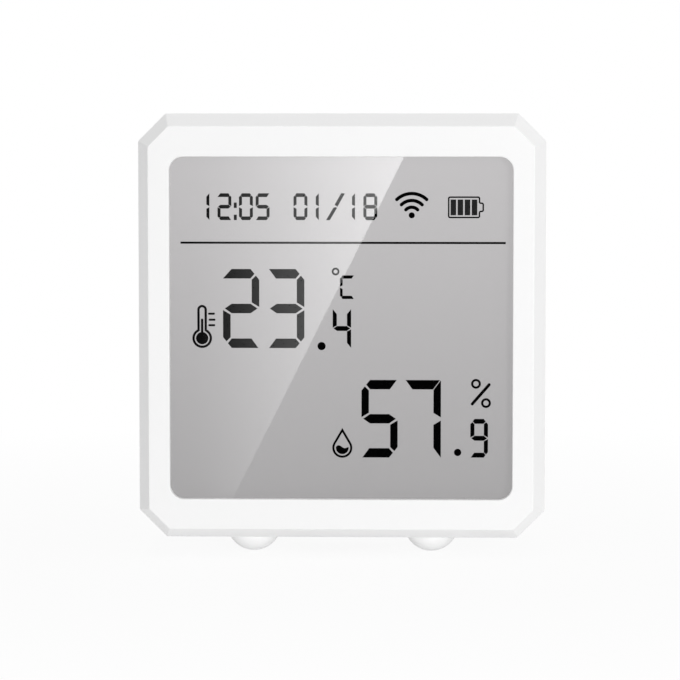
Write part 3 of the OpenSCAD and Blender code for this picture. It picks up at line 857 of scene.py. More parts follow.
@dataclass(frozen=True)
class EasedEdges:
    """Small rounds that a mould leaves on every edge of a solid."""

    width: float
    segments: int = 2
    angle: float = math.radians(25)
    flat: float = math.radians(0.5)
    weld: float = 0.001 * MM

    def ease(self, piece: bpy.types.Object) -> None:
        """Rounds the edges of a piece by modifiers, so its mesh stays as it is.

        Args:
            piece: The piece.
        """
        weld = piece.modifiers.new("weld", "WELD")
        weld.merge_threshold = self.weld
        join = piece.modifiers.new("joined faces", "DECIMATE")
        join.decimate_type = "DISSOLVE"
        join.angle_limit = self.flat
        rounds = piece.modifiers.new("eased edges", "BEVEL")
        rounds.width = self.width
        rounds.segments = self.segments
        rounds.limit_method = "ANGLE"
        rounds.angle_limit = self.angle
        rounds.use_clamp_overlap = False
        rounds.loop_slide = False
        shading = piece.modifiers.new("flat faces", "WEIGHTED_NORMAL")
        shading.keep_sharp = False


def arc(centre: Point, radius: float, start: float, end: float, steps: int = 32) -> Outline:
    """Points on an arc, both ends included, with its angles in degrees."""
    turns = [math.radians(start + (end - start) * i / steps) for i in range(steps + 1)]
    return [(centre[0] + radius * math.cos(t), centre[1] + radius * math.sin(t)) for t in turns]


def offset(path: Outline, distance: float, closed: bool) -> Outline:
    """Moves a path sideways.

    Args:
        path: Points of the path.
        distance: How far it moves to its left.
        closed: Whether the last point joins the first.

    Returns:
        The moved points.
    """
    moved = []
    count = len(path)
    for i, point in enumerate(path):
        before = Vector(path[i - 1] if closed or i else point)
        after = Vector(path[(i + 1) % count] if closed or i < count - 1 else point)
        here = Vector(point)
        ways = [way.normalized() for way in (here - before, after - here) if way.length > 0]
        sides = [Vector((-way.y, way.x)) for way in ways]
        mean = sum(sides, Vector((0.0, 0.0))).normalized()
        reach = distance / max(LEAST_MITRE, mean.dot(sides[0]))
        moved.append((here.x + mean.x * reach, here.y + mean.y * reach))
    return moved


def softened(corners: Sequence[Point], radius: float, steps: int = 4) -> Outline:
    """Rounds every corner of a closed path.

    Args:
        corners: Corners of the path.
        radius: How far each round reaches along its sides.
        steps: Straight pieces of a round.

    Returns:
        The rounded path.
    """
    path = []
    count = len(corners)
    for i in range(count):
        here = Vector(corners[i])
        start = here + (Vector(corners[i - 1]) - here).normalized() * radius
        end = here + (Vector(corners[(i + 1) % count]) - here).normalized() * radius
        for k in range(steps + 1):
            t = k / steps
            point = start * (1 - t) ** 2 + here * (2 * t * (1 - t)) + end * t ** 2
            path.append((point.x, point.y))
    return path


def filled(*corners: Point) -> Shape:
    """A filled outline."""
    return (list(corners),)


def block(left: float, right: float, low: float, high: float) -> Shape:
    """A filled rectangle."""
    return filled((left, low), (right, low), (right, high), (left, high))


def disc(centre: Point, radius: float) -> Shape:
    """A filled circle."""
    return filled(*arc(centre, radius, 0.0, 360.0)[:-1])


def ring(centre: Point, outer: float, inner: float) -> Shape:
    """A circle with a round hole."""
    return disc(centre, outer) + disc(centre, inner)


def contour(path: Outline, width: float) -> Shape:
    """A line along a closed path."""
    return offset(path, width / 2, closed=True), offset(path, -width / 2, closed=True)


def stroke(path: Outline, width: float) -> Shape:
    """A line with round ends along an open path.

    Args:
        path: Points of the path.
        width: Width of the line.

    Returns:
        The line's shape.
    """
    sides = [offset(path, side * width / 2, closed=False) for side in (1, -1)]
    ends = []
    for tip, before in ((path[-1], path[-2]), (path[0], path[1])):
        way = math.degrees(math.atan2(tip[1] - before[1], tip[0] - before[0]))
        ends.append(arc(tip, width / 2, way + 90, way - 90, CAP_STEPS)[1:-1])
    return filled(*sides[0], *ends[0], *sides[1][::-1], *ends[1])


class InkSheet:
    """Flat shapes, raised a little into prisms that stand on the display panel."""

    def __init__(self, name: str, face: float, middle: float, thickness: float) -> None:
        """Starts an empty sheet.

        Args:
            name: Name of the piece.
            face: Depth of the panel's front along Y.
            middle: Height of the window's middle.
            thickness: How far the prisms stand in front of the panel.
        """
        self.name = name
        self.back = face
        self.front = face - thickness
        self.middle = middle
        self.mesh = bmesh.new()

    def _loop(self, outline: Outline, depth: float) -> list[bmesh.types.BMVert]:
        """Adds the corners of an outline at one depth."""
        return [self.mesh.verts.new((x * MM, depth, self.middle + v * MM)) for x, v in outline]

    def _wall(self, one: list[bmesh.types.BMVert], other: list[bmesh.types.BMVert]) -> None:
        """Joins two loops by a ring of faces.

        Args:
            one: Corners of one loop.
            other: As many corners of the other.
        """
        for i in range(len(one)):
            j = (i + 1) % len(one)
            self.mesh.faces.new((one[i], other[i], other[j], one[j]))

    def add(self, shape: Shape) -> None:
        """Adds a shape.

        Args:
            shape: Its outline, and where it has a hole that outline too, with as many corners.
        """
        fronts = [self._loop(outline, self.front) for outline in shape]
        backs = [self._loop(outline, self.back) for outline in shape]
        if len(shape) == 1:
            self.mesh.faces.new(fronts[0])
            self.mesh.faces.new(list(reversed(backs[0])))
        else:
            self._wall(fronts[1], fronts[0])
            self._wall(backs[0], backs[1])
            self._wall(backs[1], fronts[1])
        self._wall(fronts[0], backs[0])

    def piece(self, material: bpy.types.Material) -> None:
        """Turns the sheet into a piece that rides on the case.

        Args:
            material: Finish of the piece.
        """
        bmesh.ops.recalc_face_normals(self.mesh, faces=self.mesh.faces)
        data = bpy.data.meshes.new(self.name)
        self.mesh.to_mesh(data)
        self.mesh.free()
        data.materials.append(material)
        piece = bpy.data.objects.new(self.name, data)
        bpy.context.scene.collection.objects.link(piece)
        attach(piece, CASE_BODY)
        LOG.info("made %s, %d faces", self.name, len(data.polygons))


@dataclass(frozen=True)
class SegmentFont:
    """Shapes of seven-segment figures, with every length as a share of the figure's height.

    FIGURES names the lit segments of each figure: a at the top, then clockwise to f, and g in the middle.
    After a segment's name stand its tips: the far one of an upright segment, both of a level one.
    """

    bar: float = 0.12
    stem: float = 0.095
    shoulder: float = 0.11
    corner: float = 0.06
    point: float = 0.022
    lip: float = 0.012
    slope: float = 0.1
    crown: float = 0.083
    crown_place: float = 0.45
    brow: float = 0.136
    outer_slope: float = 0.128
    centre_gap: float = 0.02
    centre_slope: float = 0.077

    FIGURES = {
        "0": "a=mm b=m c=m d=mm e=m f=m",
        "1": "b=o c=o",
        "2": "a=im b=m g=mm e=m d=mo",
        "3": "a=om b=m g=mm c=m d=om",
        "4": "f=o b=o g=mm c=o",
        "5": "a=mo f=m g=mm c=m d=om",
        "7": "a=oo b=o c=o",
        "8": "a=mm b=m c=m d=mm e=m f=m g=mm",
        "9": "a=mm b=m c=m d=om f=m g=mm",
        "C": "a=mo f=m e=m d=mo",
    }

    def _bar_end(self, tip: Tip, middle: bool) -> Outline:
        """Left end of a level segment, from its inner to its outer edge.

        Args:
            tip: Where its point lies.
            middle: Whether it is the middle segment.

        Returns:
            Places along the segment and across it.
        """
        if tip is Tip.OUTER:
            return [(self.slope, 1.0), (self.lip, 0.0)]
        if tip is Tip.INNER:
            return [(0.0, 1.0), (self.shoulder, 0.0)]
        apex = self.point if middle else self.corner
        return [(self.shoulder, 1.0), (apex, 0.5), (self.shoulder, 0.0)]

    def _bar(self, name: str, tips: str, wide: float) -> Outline:
        """Outline of a level segment in a figure of height one.

        Args:
            name: Letter of the segment.
            tips: Where its two points lie.
            wide: Width of the figure.

        Returns:
            The outline.
        """
        left = self._bar_end(Tip(tips[0]), name == "g")
        right = [(wide - x, t) for x, t in reversed(self._bar_end(Tip(tips[1]), name == "g"))]
        level = {"a": 1.0, "g": 0.5 + self.bar / 2, "d": 0.0}[name]
        way = 1.0 if name == "d" else -1.0
        return [(x, level + way * t * self.bar) for x, t in left + right]

    def _stem(self, name: str, tip: Tip, wide: float) -> Outline:
        """Outline of an upright segment in a figure of height one.

        Args:
            name: Letter of the segment.
            tip: Where its far point lies.
            wide: Width of the figure.

        Returns:
            The outline.
        """
        if tip is Tip.OUTER:
            far = [(0.0, 0.0), (1.0, self.outer_slope)]
        else:
            far = [(0.0, self.brow), (self.crown_place, self.crown), (1.0, self.brow)]
        near = [(1.0, 0.5 - self.centre_slope), (0.0, 0.5 - self.centre_gap)]
        points = []
        for across, up in far + near:
            x = across * self.stem if name in "ef" else wide - across * self.stem
            points.append((x, up if name in "ce" else 1.0 - up))
        return points

    def outlines(self, figure: str, left: float, low: float, wide: float, high: float) -> list[Outline]:
        """Outlines of the lit segments of a figure.

        Args:
            figure: The figure.
            left: Its left edge.
            low: Its foot.
            wide: Its width.
            high: Its height.

        Returns:
            One outline for each segment.
        """
        shapes = []
        for part in self.FIGURES[figure].split():
            name, tips = part.split("=")
            if name in "agd":
                shape = self._bar(name, tips, wide / high)
            else:
                shape = self._stem(name, Tip(tips), wide / high)
            shapes.append([(left + x * high, low + v * high) for x, v in shape])
        return shapes


class Weight(Enum):
    """Weights of the figures, bolder ones for the small sizes."""

    LARGE = SegmentFont()
    MIDDLING = SegmentFont(bar=0.125, stem=0.106)
    SMALL = SegmentFont(bar=0.138, stem=0.112)


def figures(
    weight: Weight, text: str, lefts: Sequence[float], low: float, wide: float, high: float
) -> list[Shape]:
    """A row of figures.

    Args:
        weight: How bold they are.
        text: The figures.
        lefts: Left edge of each.
        low: Foot of the row.
        wide: Width of a figure.
        high: Its height.

    Returns:
        One shape for each lit segment.
    """
    shapes = []
    for figure, left in zip(text, lefts):
        shapes += [(outline,) for outline in weight.value.outlines(figure, left, low, wide, high)]
    return shapes


@dataclass(frozen=True)
class WirelessSign:
    """A dot under three arcs, each with its radius and its half angle in degrees."""

    centre: Point = (11.67, 18.68)
    dot: float = 0.5
    arcs: tuple[Point, ...] = ((1.34, 47.0), (2.45, 44.5), (3.6, 43.5))
    line: float = 0.57

    def shapes(self) -> list[Shape]:
        """The dot and the arcs."""
        paths = [arc(self.centre, radius, 90 - half, 90 + half) for radius, half in self.arcs]
        return [disc(self.centre, self.dot)] + [stroke(path, self.line) for path in paths]


@dataclass(frozen=True)
class ChargeSign:
    """Outline of a battery with its button on the right, and the bars that say how full it is."""

    left: float = 17.78
    right: float = 22.87
    low: float = 18.33
    high: float = 21.69
    button: float = 23.49
    button_low: float = 19.34
    button_high: float = 20.69
    corner: float = 0.26
    line: float = 0.25
    bars: int = 4
    bar_left: float = 18.09
    bar_pitch: float = 1.167
    bar_wide: float = 0.92
    bar_low: float = 18.69
    bar_high: float = 21.3

    def outline(self) -> list[Shape]:
        """Makes the outline.

        Returns:
            Its shape alone.
        """
        foot = [(self.left, self.low), (self.right, self.low)]
        button = [
            (self.right, self.button_low), (self.button, self.button_low),
            (self.button, self.button_high), (self.right, self.button_high)]
        head = [(self.right, self.high), (self.left, self.high)]
        return [contour(softened(foot + button + head, self.corner), self.line)]

    def filling(self) -> list[Shape]:
        """The bars, from left to right."""
        lefts = [self.bar_left + self.bar_pitch * i for i in range(self.bars)]
        return [block(left, left + self.bar_wide, self.bar_low, self.bar_high) for left in lefts]


@dataclass(frozen=True)
class ThermometerSign:
    """Thermometer with three marks of its scale."""

    middle: float = -23.16
    low: float = -1.79
    high: float = 2.96
    bulb: float = 1.44
    bulb_fill: float = 1.03
    tube: float = 0.6
    tube_steps: int = 12
    column: float = 1.28
    line: float = 0.4
    marks: tuple[Point, ...] = ((-22.0, 2.29), (-21.9, 1.29), (-21.95, 0.37))
    mark_length: float = 0.8
    mark_line: float = 0.36

    def shapes(self) -> list[Shape]:
        """Makes the glass, its filling and the marks.

        Returns:
            Their shapes.
        """
        foot, top = (self.middle, self.low), (self.middle, self.high)
        half = math.degrees(math.asin(self.tube / self.bulb))
        bulb = arc(foot, self.bulb, 90 + half, 450 - half)
        glass = bulb + arc(top, self.tube, 0.0, 180.0, self.tube_steps)
        filling = [disc(foot, self.bulb_fill), stroke([foot, (self.middle, self.column)], self.line)]
        marks = [[(left, level), (left + self.mark_length, level)] for left, level in self.marks]
        return [contour(glass, self.line)] + filling + [stroke(mark, self.mark_line) for mark in marks]


@dataclass(frozen=True)
class DropSign:
    """Drop with rippled water in it, the ripple a sine that leans to one side."""

    middle: float = 0.17
    level: float = -20.05
    radius: float = 1.49
    peak: float = -17.1
    shoulder: float = 30.4
    line: float = 0.37
    water: float = 1.07
    water_span: Point = (172.0, 366.0)
    ripple_half: float = 1.0
    ripple_rise: float = 0.22
    ripple_lean: float = 0.1
    ripple_shift: float = 0.05
    ripple_steps: int = 10

    def _ripple(self) -> Outline:
        """Draws the top of the water.

        Returns:
            Its points from right to left, without both ends.
        """
        points = []
        for step in range(1, self.ripple_steps):
            t = step / self.ripple_steps
            sine = self.ripple_rise * math.sin(math.tau * (t - self.ripple_shift))
            wave = sine + self.ripple_lean * (1.0 - t)
            across = self.ripple_half * (1.0 - 2.0 * t)
            points.append((self.middle + across, self.level + self.ripple_rise - wave))
        return points

    def shapes(self) -> list[Shape]:
        """Makes the drop and its water.

        Returns:
            Their shapes.
        """
        centre = (self.middle, self.level)
        belly = arc(centre, self.radius, self.shoulder, -180 - self.shoulder)
        water = arc(centre, self.water, *self.water_span) + self._ripple()
        return [contour([(self.middle, self.peak)] + belly, self.line), filled(*water)]


@dataclass(frozen=True)
class Reading:
    """One piece of the display."""

    name: str
    shapes: list[Shape]
    ink: Ink = Ink.BLACK


@dataclass
class Readout:
    """Everything that the display shows, one piece for each reading or sign."""

    face: float
    middle: float
    inks: dict[Ink, bpy.types.Material]
    thickness: float = 0.03 * MM
    readings: tuple[Reading, ...] = (
        Reading("clock_figures", [
            *figures(
                Weight.SMALL, "1205", (-24.19, -20.54, -16.97, -14.2), low=17.86, wide=2.3, high=4.44),
            block(left=-17.83, right=-17.34, low=17.86, high=18.76),
            block(left=-17.83, right=-17.34, low=19.87, high=20.77),
        ]),
        Reading("date_figures", [
            *figures(Weight.SMALL, "0118", (-7.92, -6.03, -0.03, 3.66), low=17.87, wide=2.3, high=4.44),
            filled((-2.52, 17.87), (-1.9, 17.87), (-0.68, 19.93), (-0.92, 20.02), (-1.3, 19.93)),
            filled((-0.64, 20.08), (0.6, 22.31), (-0.02, 22.31), (-1.1, 20.42)),
        ]),
        Reading("signal_sign", WirelessSign().shapes()),
        Reading("charge_sign", ChargeSign().outline()),
        Reading("charge_bars", ChargeSign().filling(), Ink.GREY),
        Reading("divider_line", [block(left=-26.72, right=27.24, low=13.93, high=14.28)]),
        Reading("thermometer_sign", ThermometerSign().shapes()),
        Reading("temperature_figures", [
            *figures(Weight.LARGE, "23", (-19.67, -12.17), low=-3.41, wide=6.03, high=13.15),
            *figures(Weight.MIDDLING, "4", (-1.43,), low=-3.35, wide=3.06, high=6.44),
            disc((-3.28, -3.07), radius=0.68),
        ]),
        Reading("celsius_sign", [
            *figures(Weight.SMALL, "C", (-0.22,), low=4.78, wide=2.34, high=3.93),
            ring((-0.95, 9.34), outer=0.64, inner=0.33),
        ]),
        Reading("drop_sign", DropSign().shapes()),
        Reading("humidity_figures", [
            *figures(Weight.LARGE, "57", (3.36, 10.55), low=-21.66, wide=6.02, high=12.96),
            *figures(Weight.MIDDLING, "9", (21.48,), low=-21.62, wide=2.93, high=6.46),
            disc((19.37, -20.77), radius=0.61),
        ]),
        Reading("percent_sign", [
            ring((22.39, -9.3), outer=0.82, inner=0.44),
            ring((24.06, -12.51), outer=0.82, inner=0.44),
            stroke([(21.78, -12.66), (24.58, -9.44)], width=0.5),
        ]),
    )

    def build(self) -> None:
        """Makes every reading and sign."""
        for reading in self.readings:
            sheet = InkSheet(reading.name, self.face, self.middle, self.thickness)
            for shape in reading.shapes:
                sheet.add(shape)
            sheet.piece(self.inks[reading.ink])


def paint(finish: Finish, title: str, *nodes: str) -> None:
    """Gives solids one finish.

    Args:
        finish: What they are made of.
        title: Name of its material.
        nodes: The solids.
    """
    material = finish.material(title)
    for node in nodes:
        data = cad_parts[node].data
        data.materials.clear()
        data.materials.append(material)
        LOG.info("painted %s with %s", node, title)


@dataclass
class Housing:
    """Case halves, battery door, button and feet."""

    white: MouldedPlastic = MouldedPlastic((0.93, 0.93, 0.93))
    rubber: SoftRubber = SoftRubber((0.76, 0.76, 0.76))
    arrow_length: float = 3.2 * MM
    arrow_half: float = 2.2 * MM
    arrow_place: float = 0.69
    front_edges: EasedEdges = EasedEdges(0.14 * MM)
    rear_edges: EasedEdges = EasedEdges(0.1 * MM)

    def _arrow(self) -> SlideArrow:
        """Places the arrow beside the door's grip.

        Returns:
            The arrow, which points the way that the door slides.
        """
        low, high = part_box("battery_door")
        foot = low.x + (high.x - low.x) * self.arrow_place
        return SlideArrow(foot, foot + self.arrow_length, (low.z + high.z) / 2, self.arrow_half)

    def dress(self) -> None:
        """Paints the shells and rounds their edges."""
        paint(self.white, "white plastic", "front_bezel", "pairing_button", "rear_cover")
        paint(replace(self.white, arrow=self._arrow()), "white door plastic", "battery_door")
        paint(self.rubber, "white rubber", "feet")
        for node in ("front_bezel", "pairing_button"):
            self.front_edges.ease(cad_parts[node])
        for node in ("rear_cover", "battery_door"):
            self.rear_edges.ease(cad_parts[node])


@dataclass
class Display:
    """Window, panel and what the panel shows."""

    window: ClearSheet = ClearSheet((0.985, 0.985, 0.985))
    glass: ClearSheet = ClearSheet((0.86, 0.93, 0.9), ior=1.52)
    tape: FoamTape = FoamTape((0.7, 0.7, 0.7))
    reflector: PlatedMetal = PlatedMetal((0.7, 0.7, 0.68), 0.35, (1.0, 1.0, 0.05))
    black: SegmentInk = SegmentInk((0.001, 0.001, 0.0011))
    grey: SegmentInk = SegmentInk((0.017, 0.017, 0.0172))
    # The film's greys are paler at the top and darker at the foot: painted light, and the film glows as
    # painted light too.
    painted_light_film_top: Colour = (0.562, 0.55, 0.556)
    painted_shade_film_foot: Colour = (0.405, 0.397, 0.401)

    def dress(self) -> None:
        """Paints the panel and makes its readings."""
        low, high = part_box("lcd_polarizer")
        paint(self.window, "clear window", "display_window")
        paint(PanelFilm(self.painted_light_film_top, self.painted_shade_film_foot, low.z, high.z), "grey film with painted glow", "lcd_polarizer")
        paint(self.glass, "panel glass", "lcd_front_glass", "lcd_rear_glass")
        paint(self.reflector, "silvered film", "lcd_reflector")
        paint(self.tape, "foam tape", "window_tape")
        finishes = {Ink.BLACK: self.black, Ink.GREY: self.grey}
        inks = {ink: finish.material(ink.value) for ink, finish in finishes.items()}
        Readout(low.y, (low.z + high.z) / 2, inks).build()


@dataclass
class Electronics:
    """Panel holder, circuit board and the parts on it."""

    holder: MouldedPlastic = MouldedPlastic((0.8, 0.8, 0.78), 0.5)
    connector: LayeredRubber = LayeredRubber((0.02, 0.02, 0.022), (0.45, 0.42, 0.36), 0.2 * MM)
    board: SolderMask = SolderMask((0.02, 0.13, 0.05), (0.5, 0.42, 0.22), (0.75, 0.66, 0.42), 1.3 * MM)
    radio: SolderMask = SolderMask((0.012, 0.03, 0.1), (0.45, 0.4, 0.25), (0.75, 0.66, 0.42), 0.9 * MM)
    screws: PlatedMetal = PlatedMetal((0.62, 0.62, 0.6), 0.28, (1.0, 0.3, 1.0))
    shield: PlatedMetal = PlatedMetal((0.72, 0.71, 0.68), 0.3, (0.1, 1.0, 1.0))
    plunger: MouldedPlastic = MouldedPlastic((0.02, 0.02, 0.02))
    epoxy: Colour = (0.02, 0.02, 0.022)
    tin: Colour = (0.72, 0.72, 0.7)
    ceramic: Colour = (0.32, 0.24, 0.16)
    ferrite: Colour = (0.05, 0.05, 0.052)
    copper: Colour = (0.72, 0.33, 0.16)
    black: Colour = (0.02, 0.02, 0.02)
    aluminium: Colour = (0.75, 0.76, 0.77)
    steel: Colour = (0.7, 0.7, 0.68)
    lead: float = 1.0 * MM
    can_base: float = 1.0 * MM
    plate: float = 0.4 * MM
    part_reach: float = 0.8 * MM
    part_half: float = 0.45 * MM
    groove: Point = (1.5 * MM, 2.1 * MM)

    @staticmethod
    def _centre(node: str) -> Point:
        """Middle of a solid, across and up."""
        low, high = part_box(node)
        return (low.x + high.x) / 2, (low.z + high.z) / 2

    def _chip(self, node: str, lead: float) -> None:
        """Paints a chip.

        Args:
            node: The chip.
            lead: How far its leads stand out, less than nought where none show.
        """
        low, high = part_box(node)
        half = (high.x - low.x) / 2 - lead
        paint(ChipCase(self.epoxy, self.tin, self._centre(node), half), f"{node} epoxy", node)

    def dress(self) -> None:
        """Paints the board and its parts, whose finishes follow from their boxes."""
        paint(self.holder, "holder plastic", "lcd_holder")
        paint(self.connector, "layered rubber", "zebra_strip")
        paint(self.board, "green board", "main_board")
        paint(self.radio, "blue board", "radio_board")
        paint(self.screws, "zinc screws", "board_screws", "case_screws")
        paint(self.shield, "tinned steel", "radio_shield", "crystal")
        self._chip("controller_chip", self.lead)
        self._chip("climate_sensor", -self.lead)
        low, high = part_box("chip_parts")
        rows = (low.z + self.part_reach, high.z - self.part_reach)
        paint(EndCapped(self.ceramic, self.tin, rows, self.part_half), "ceramic and tin", "chip_parts")
        drum = WoundDrum(self.ferrite, self.copper, self._centre("inductor"), *self.groove)
        paint(drum, "ferrite and copper", "inductor")
        can_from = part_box("smoothing_capacitor")[0].y + self.can_base
        paint(BandedPart(self.black, self.aluminium, can_from), "aluminium can", "smoothing_capacitor")
        plate_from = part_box("switch_body")[1].y - self.plate
        paint(BandedPart(self.black, self.steel, plate_from), "switch case and plate", "switch_body")
        paint(self.plunger, "black plunger", "switch_plunger")


@dataclass
class BatteryBay:
    """Cells, contacts and springs."""

    nickel: PlatedMetal = PlatedMetal((0.78, 0.76, 0.71), 0.24, (1.0, 0.08, 1.0))
    wire: PlatedMetal = PlatedMetal((0.74, 0.73, 0.7), 0.26, (1.0, 1.0, 1.0))
    sleeve: Colour = (0.02, 0.05, 0.085)
    band: Colour = (0.62, 0.64, 0.66)
    steel: Colour = (0.72, 0.71, 0.68)

    def dress(self) -> None:
        """Paints the cells, which lie opposite ways, and what touches them."""
        paint(self.nickel, "nickel sheet", "contact_negative", "contact_positive", "contact_bridge")
        paint(self.wire, "spring wire", "battery_springs")
        for node, flipped in (("cell_upper", False), ("cell_lower", True)):
            low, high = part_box(node)
            plus, minus = (low.x, high.x) if flipped else (high.x, low.x)
            axis = ((low.y + high.y) / 2, (low.z + high.z) / 2)
            jacket = CellJacket(self.sleeve, self.band, self.steel, plus, minus, axis)
            paint(jacket, f"{node} sleeve", node)


def aimed(place: Spot, target: Spot) -> Euler:
    """Rotation that points a lamp or camera from a place to a target."""
    return (Vector(target) - Vector(place)).to_track_quat("-Z", "Y").to_euler()


def light_only(lamp: bpy.types.Object, nodes: Iterable[str]) -> None:
    """Lets a lamp or card light the named solids and nothing else.

    Args:
        lamp: The lamp or card.
        nodes: The solids.
    """
    lit = bpy.data.collections.new(f"lit by the {lamp.name}")
    for node in nodes:
        lit.objects.link(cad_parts[node])
    lamp.light_linking.receiver_collection = lit


def stage_board(name: str, corners: list[Spot], material: bpy.types.Material) -> bpy.types.Object:
    """Makes a flat board of the studio.

    Args:
        name: Name of the board.
        corners: Its corners, in order.
        material: Its finish.

    Returns:
        The board.
    """
    data = bpy.data.meshes.new(name)
    data.from_pydata(corners, [], [tuple(range(len(corners)))])
    data.materials.append(material)
    board = bpy.data.objects.new(name, data)
    bpy.context.scene.collection.objects.link(board)
    return board


@dataclass(frozen=True)
class SoftBox:
    """A square lamp that looks at the sensor and lights everything unless some solids are named."""

    name: str
    place: Spot
    size: float
    power: float
    target: Spot = (0.0, 0.0, 0.038)
    only: tuple[str, ...] = ()

    def light(self) -> None:
        """Hangs the lamp."""
        lamp = bpy.data.lights.new(self.name, "AREA")
        lamp.size = self.size
        lamp.energy = self.power
        holder = bpy.data.objects.new(self.name, lamp)
        holder.location = self.place
        holder.rotation_euler = aimed(self.place, self.target)
        bpy.context.scene.collection.objects.link(holder)
        if self.only:
            light_only(holder, self.only)


@dataclass(frozen=True)
class FloorPaint(Finish):
    """White that keeps the sensor's shadow.

    To the camera most of it glows, and all of it from the far radius on. To other rays a smaller share
    of it glows.
    """

    colour: Colour = (0.92, 0.92, 0.92)
    dark: float = 0.99
    mottle: Detail = Detail(0.2)
    lift: float = 0.34
    glow: float = 0.9
    near: float = 0.06
    far: float = 0.2

    def nodes(self, graph: Graph) -> Shade:
        """Builds the paint.

        Args:
            graph: Where its nodes go.

        Returns:
            Its shader.
        """
        pale = graph.shader(
            Base_Color=graph.tones(self.colour, self.dark, 1.0, graph.noise(self.mottle)),
            Roughness=1.0,
            Specular_IOR_Level=0.0,
        )
        glow = graph.node("ShaderNodeEmission", inputs={"Color": WHITE, "Strength": 1.0})
        x, y, _ = graph.axes()
        reach = (x ** 2.0 + y ** 2.0) ** 0.5
        away = ((reach - self.near) / (self.far - self.near)).clamped()
        shown = self.glow + (1.0 - self.glow) * away
        return graph.blend(pale, glow, self.lift + graph.seen() * (shown - self.lift))


class BlackPaint(Finish):
    """Black that mirrors nothing."""

    def nodes(self, graph: Graph) -> Shade:
        """Builds the paint and hands back its shader."""
        return graph.shader(Base_Color=BLACK, Specular_IOR_Level=0.0)


@dataclass(frozen=True)
class GlowingPaint(Finish):
    """Black that glows more and more to the right, from a start to where its glow is full."""

    start: float
    full: float
    power: float = 1.2
    strength: float = 5.2

    def nodes(self, graph: Graph) -> Shade:
        """Builds the paint.

        Args:
            graph: Where its nodes go.

        Returns:
            Its shader.
        """
        x, _, _ = graph.axes()
        level = ((x - self.start) / (self.full - self.start)).most(0.0) ** self.power
        return graph.shader(
            Base_Color=BLACK,
            Specular_IOR_Level=0.0,
            Emission_Color=graph.mix(BLACK, WHITE, level),
            Emission_Strength=self.strength,
        )


@dataclass(frozen=True)
class GlareCard:
    """Card before the window that only mirrors show: a soft glow up to a slanting edge.

    The glare's top, foot and start are where the camera sees them on the window's face.
    """

    gap: float = 60 * MM
    left: float = -42 * MM
    right: float = 38 * MM
    low: float = 0.5 * MM
    high: float = 84 * MM
    glare_top: Point = (10.4 * MM, 66.65 * MM)
    glare_foot: Point = (-18.08 * MM, 9.76 * MM)
    glare_start: float = -24.8 * MM
    lit: tuple[str, ...] = ("display_window", "lcd_polarizer")

    def _mirrored(self, spot: Point, face: float, eye: Spot) -> Point:
        """Where the card's plane shows in the window at a spot on its face."""
        share = self.gap / (face - eye[1])
        return spot[0] + (spot[0] - eye[0]) * share, spot[1] + (spot[1] - eye[2]) * share

    def _stand(self, name: str, corners: list[Spot], material: bpy.types.Material) -> None:
        """Stands one part of the card, which shows in mirrors only.

        Args:
            name: Name of the part.
            corners: Its corners, in order.
            material: Its finish.
        """
        board = stage_board(name, corners, material)
        light_only(board, self.lit)
        board.visible_camera = False
        board.visible_diffuse = False
        board.visible_shadow = False
        board.visible_transmission = False

    def build(self, eye: Spot) -> None:
        """Stands the card before the window, in a glowing and a dark part.

        Args:
            eye: Where the camera stands.
        """
        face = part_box("display_window")[0].y
        depth = face - self.gap
        top, foot = self._mirrored(self.glare_top, face, eye), self._mirrored(self.glare_foot, face, eye)
        start = self._mirrored((self.glare_start, self.glare_top[1]), face, eye)[0]
        slope = (top[0] - foot[0]) / (top[1] - foot[1])
        low = (foot[0] + slope * (self.low - foot[1]), depth, self.low)
        high = (foot[0] + slope * (self.high - foot[1]), depth, self.high)
        bright = [(self.left, depth, self.low), low, high, (self.left, depth, self.high)]
        shade = [low, (self.right, depth, self.low), (self.right, depth, self.high), high]
        self._stand("glow_card", bright, GlowingPaint(start, top[0]).material("glowing card"))
        self._stand("dark_card", shade, BlackPaint().material("dark card"))


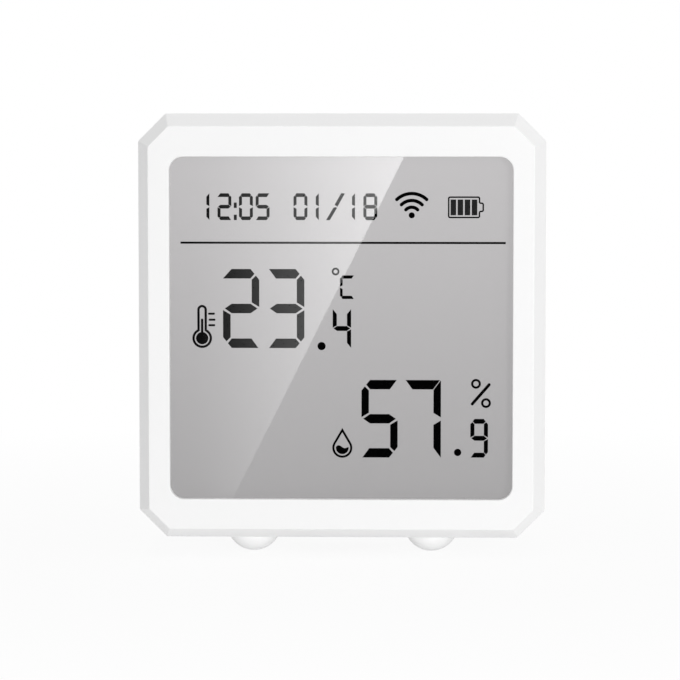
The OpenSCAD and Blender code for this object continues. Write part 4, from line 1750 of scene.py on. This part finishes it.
@dataclass
class Studio:
    """Floor, backdrop, lamps and camera."""

    eye: Spot = (0.015, -0.514, 0.0738)
    aim: Spot = (-0.00013, -0.014, 0.03646)
    lens: float = 160.68
    film_width: float = 36.0
    nearest: float = 0.01
    fill: float = 0.52
    floor_size: float = 6.0
    floor_drop: float = 0.02 * MM
    floor_paint: FloorPaint = FloorPaint()
    card: GlareCard = GlareCard()
    lamps: tuple[SoftBox, ...] = (
        SoftBox("key", (0.35, -0.95, 0.12), 0.22, 3.3),
        SoftBox("top", (0.0, -0.15, 1.2), 0.8, 3.0),
        SoftBox("back", (0.0, 1.1, 0.25), 0.5, 2.8, only=(
            "rear_cover", "battery_door", "pairing_button", "feet", "case_screws", "cell_upper",
            "cell_lower", "contact_negative", "contact_positive", "contact_bridge", "battery_springs")),
        SoftBox("low", (0.0, -0.6, 0.03), 0.15, 2.0, only=("feet",)),
        SoftBox("side", (1.1, -0.35, 0.35), 0.8, 1.0),
    )

    def _camera(self) -> None:
        """Sets the camera at the photograph's viewing angle."""
        data = bpy.data.cameras.new("camera")
        data.sensor_fit = "HORIZONTAL"
        data.sensor_width = self.film_width
        data.lens = self.lens
        data.clip_start = self.nearest
        camera = bpy.data.objects.new("camera", data)
        camera.location = self.eye
        camera.rotation_euler = aimed(self.eye, self.aim)
        bpy.context.scene.collection.objects.link(camera)
        bpy.context.scene.camera = camera

    def _room(self) -> None:
        """Lights the room evenly and shows a white backdrop."""
        world = bpy.data.worlds.new("room")
        bpy.context.scene.world = world
        graph = Graph(world)
        strength = self.fill + (1.0 - self.fill) * graph.seen()
        graph.surface(graph.node("ShaderNodeBackground", inputs={"Color": WHITE, "Strength": strength}))

    def _floor(self) -> None:
        """Lays the floor just under the feet."""
        half = self.floor_size / 2
        sides = ((-half, -half), (half, -half), (half, half), (-half, half))
        corners = [(x, y, -self.floor_drop) for x, y in sides]
        stage_board("floor", corners, self.floor_paint.material("studio floor"))

    def build(self) -> None:
        """Sets up the whole studio."""
        bpy.context.scene.view_settings.view_transform = "Standard"
        self._camera()
        self._room()
        self._floor()
        self.card.build(self.eye)
        for lamp in self.lamps:
            lamp.light()


def main() -> None:
    """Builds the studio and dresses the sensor."""
    logging.basicConfig(level=logging.INFO, format="%(name)s: %(message)s")
    Studio().build()
    Housing().dress()
    Display().dress()
    Electronics().dress()
    BatteryBay().dress()


if __name__ == "__main__":
    main()
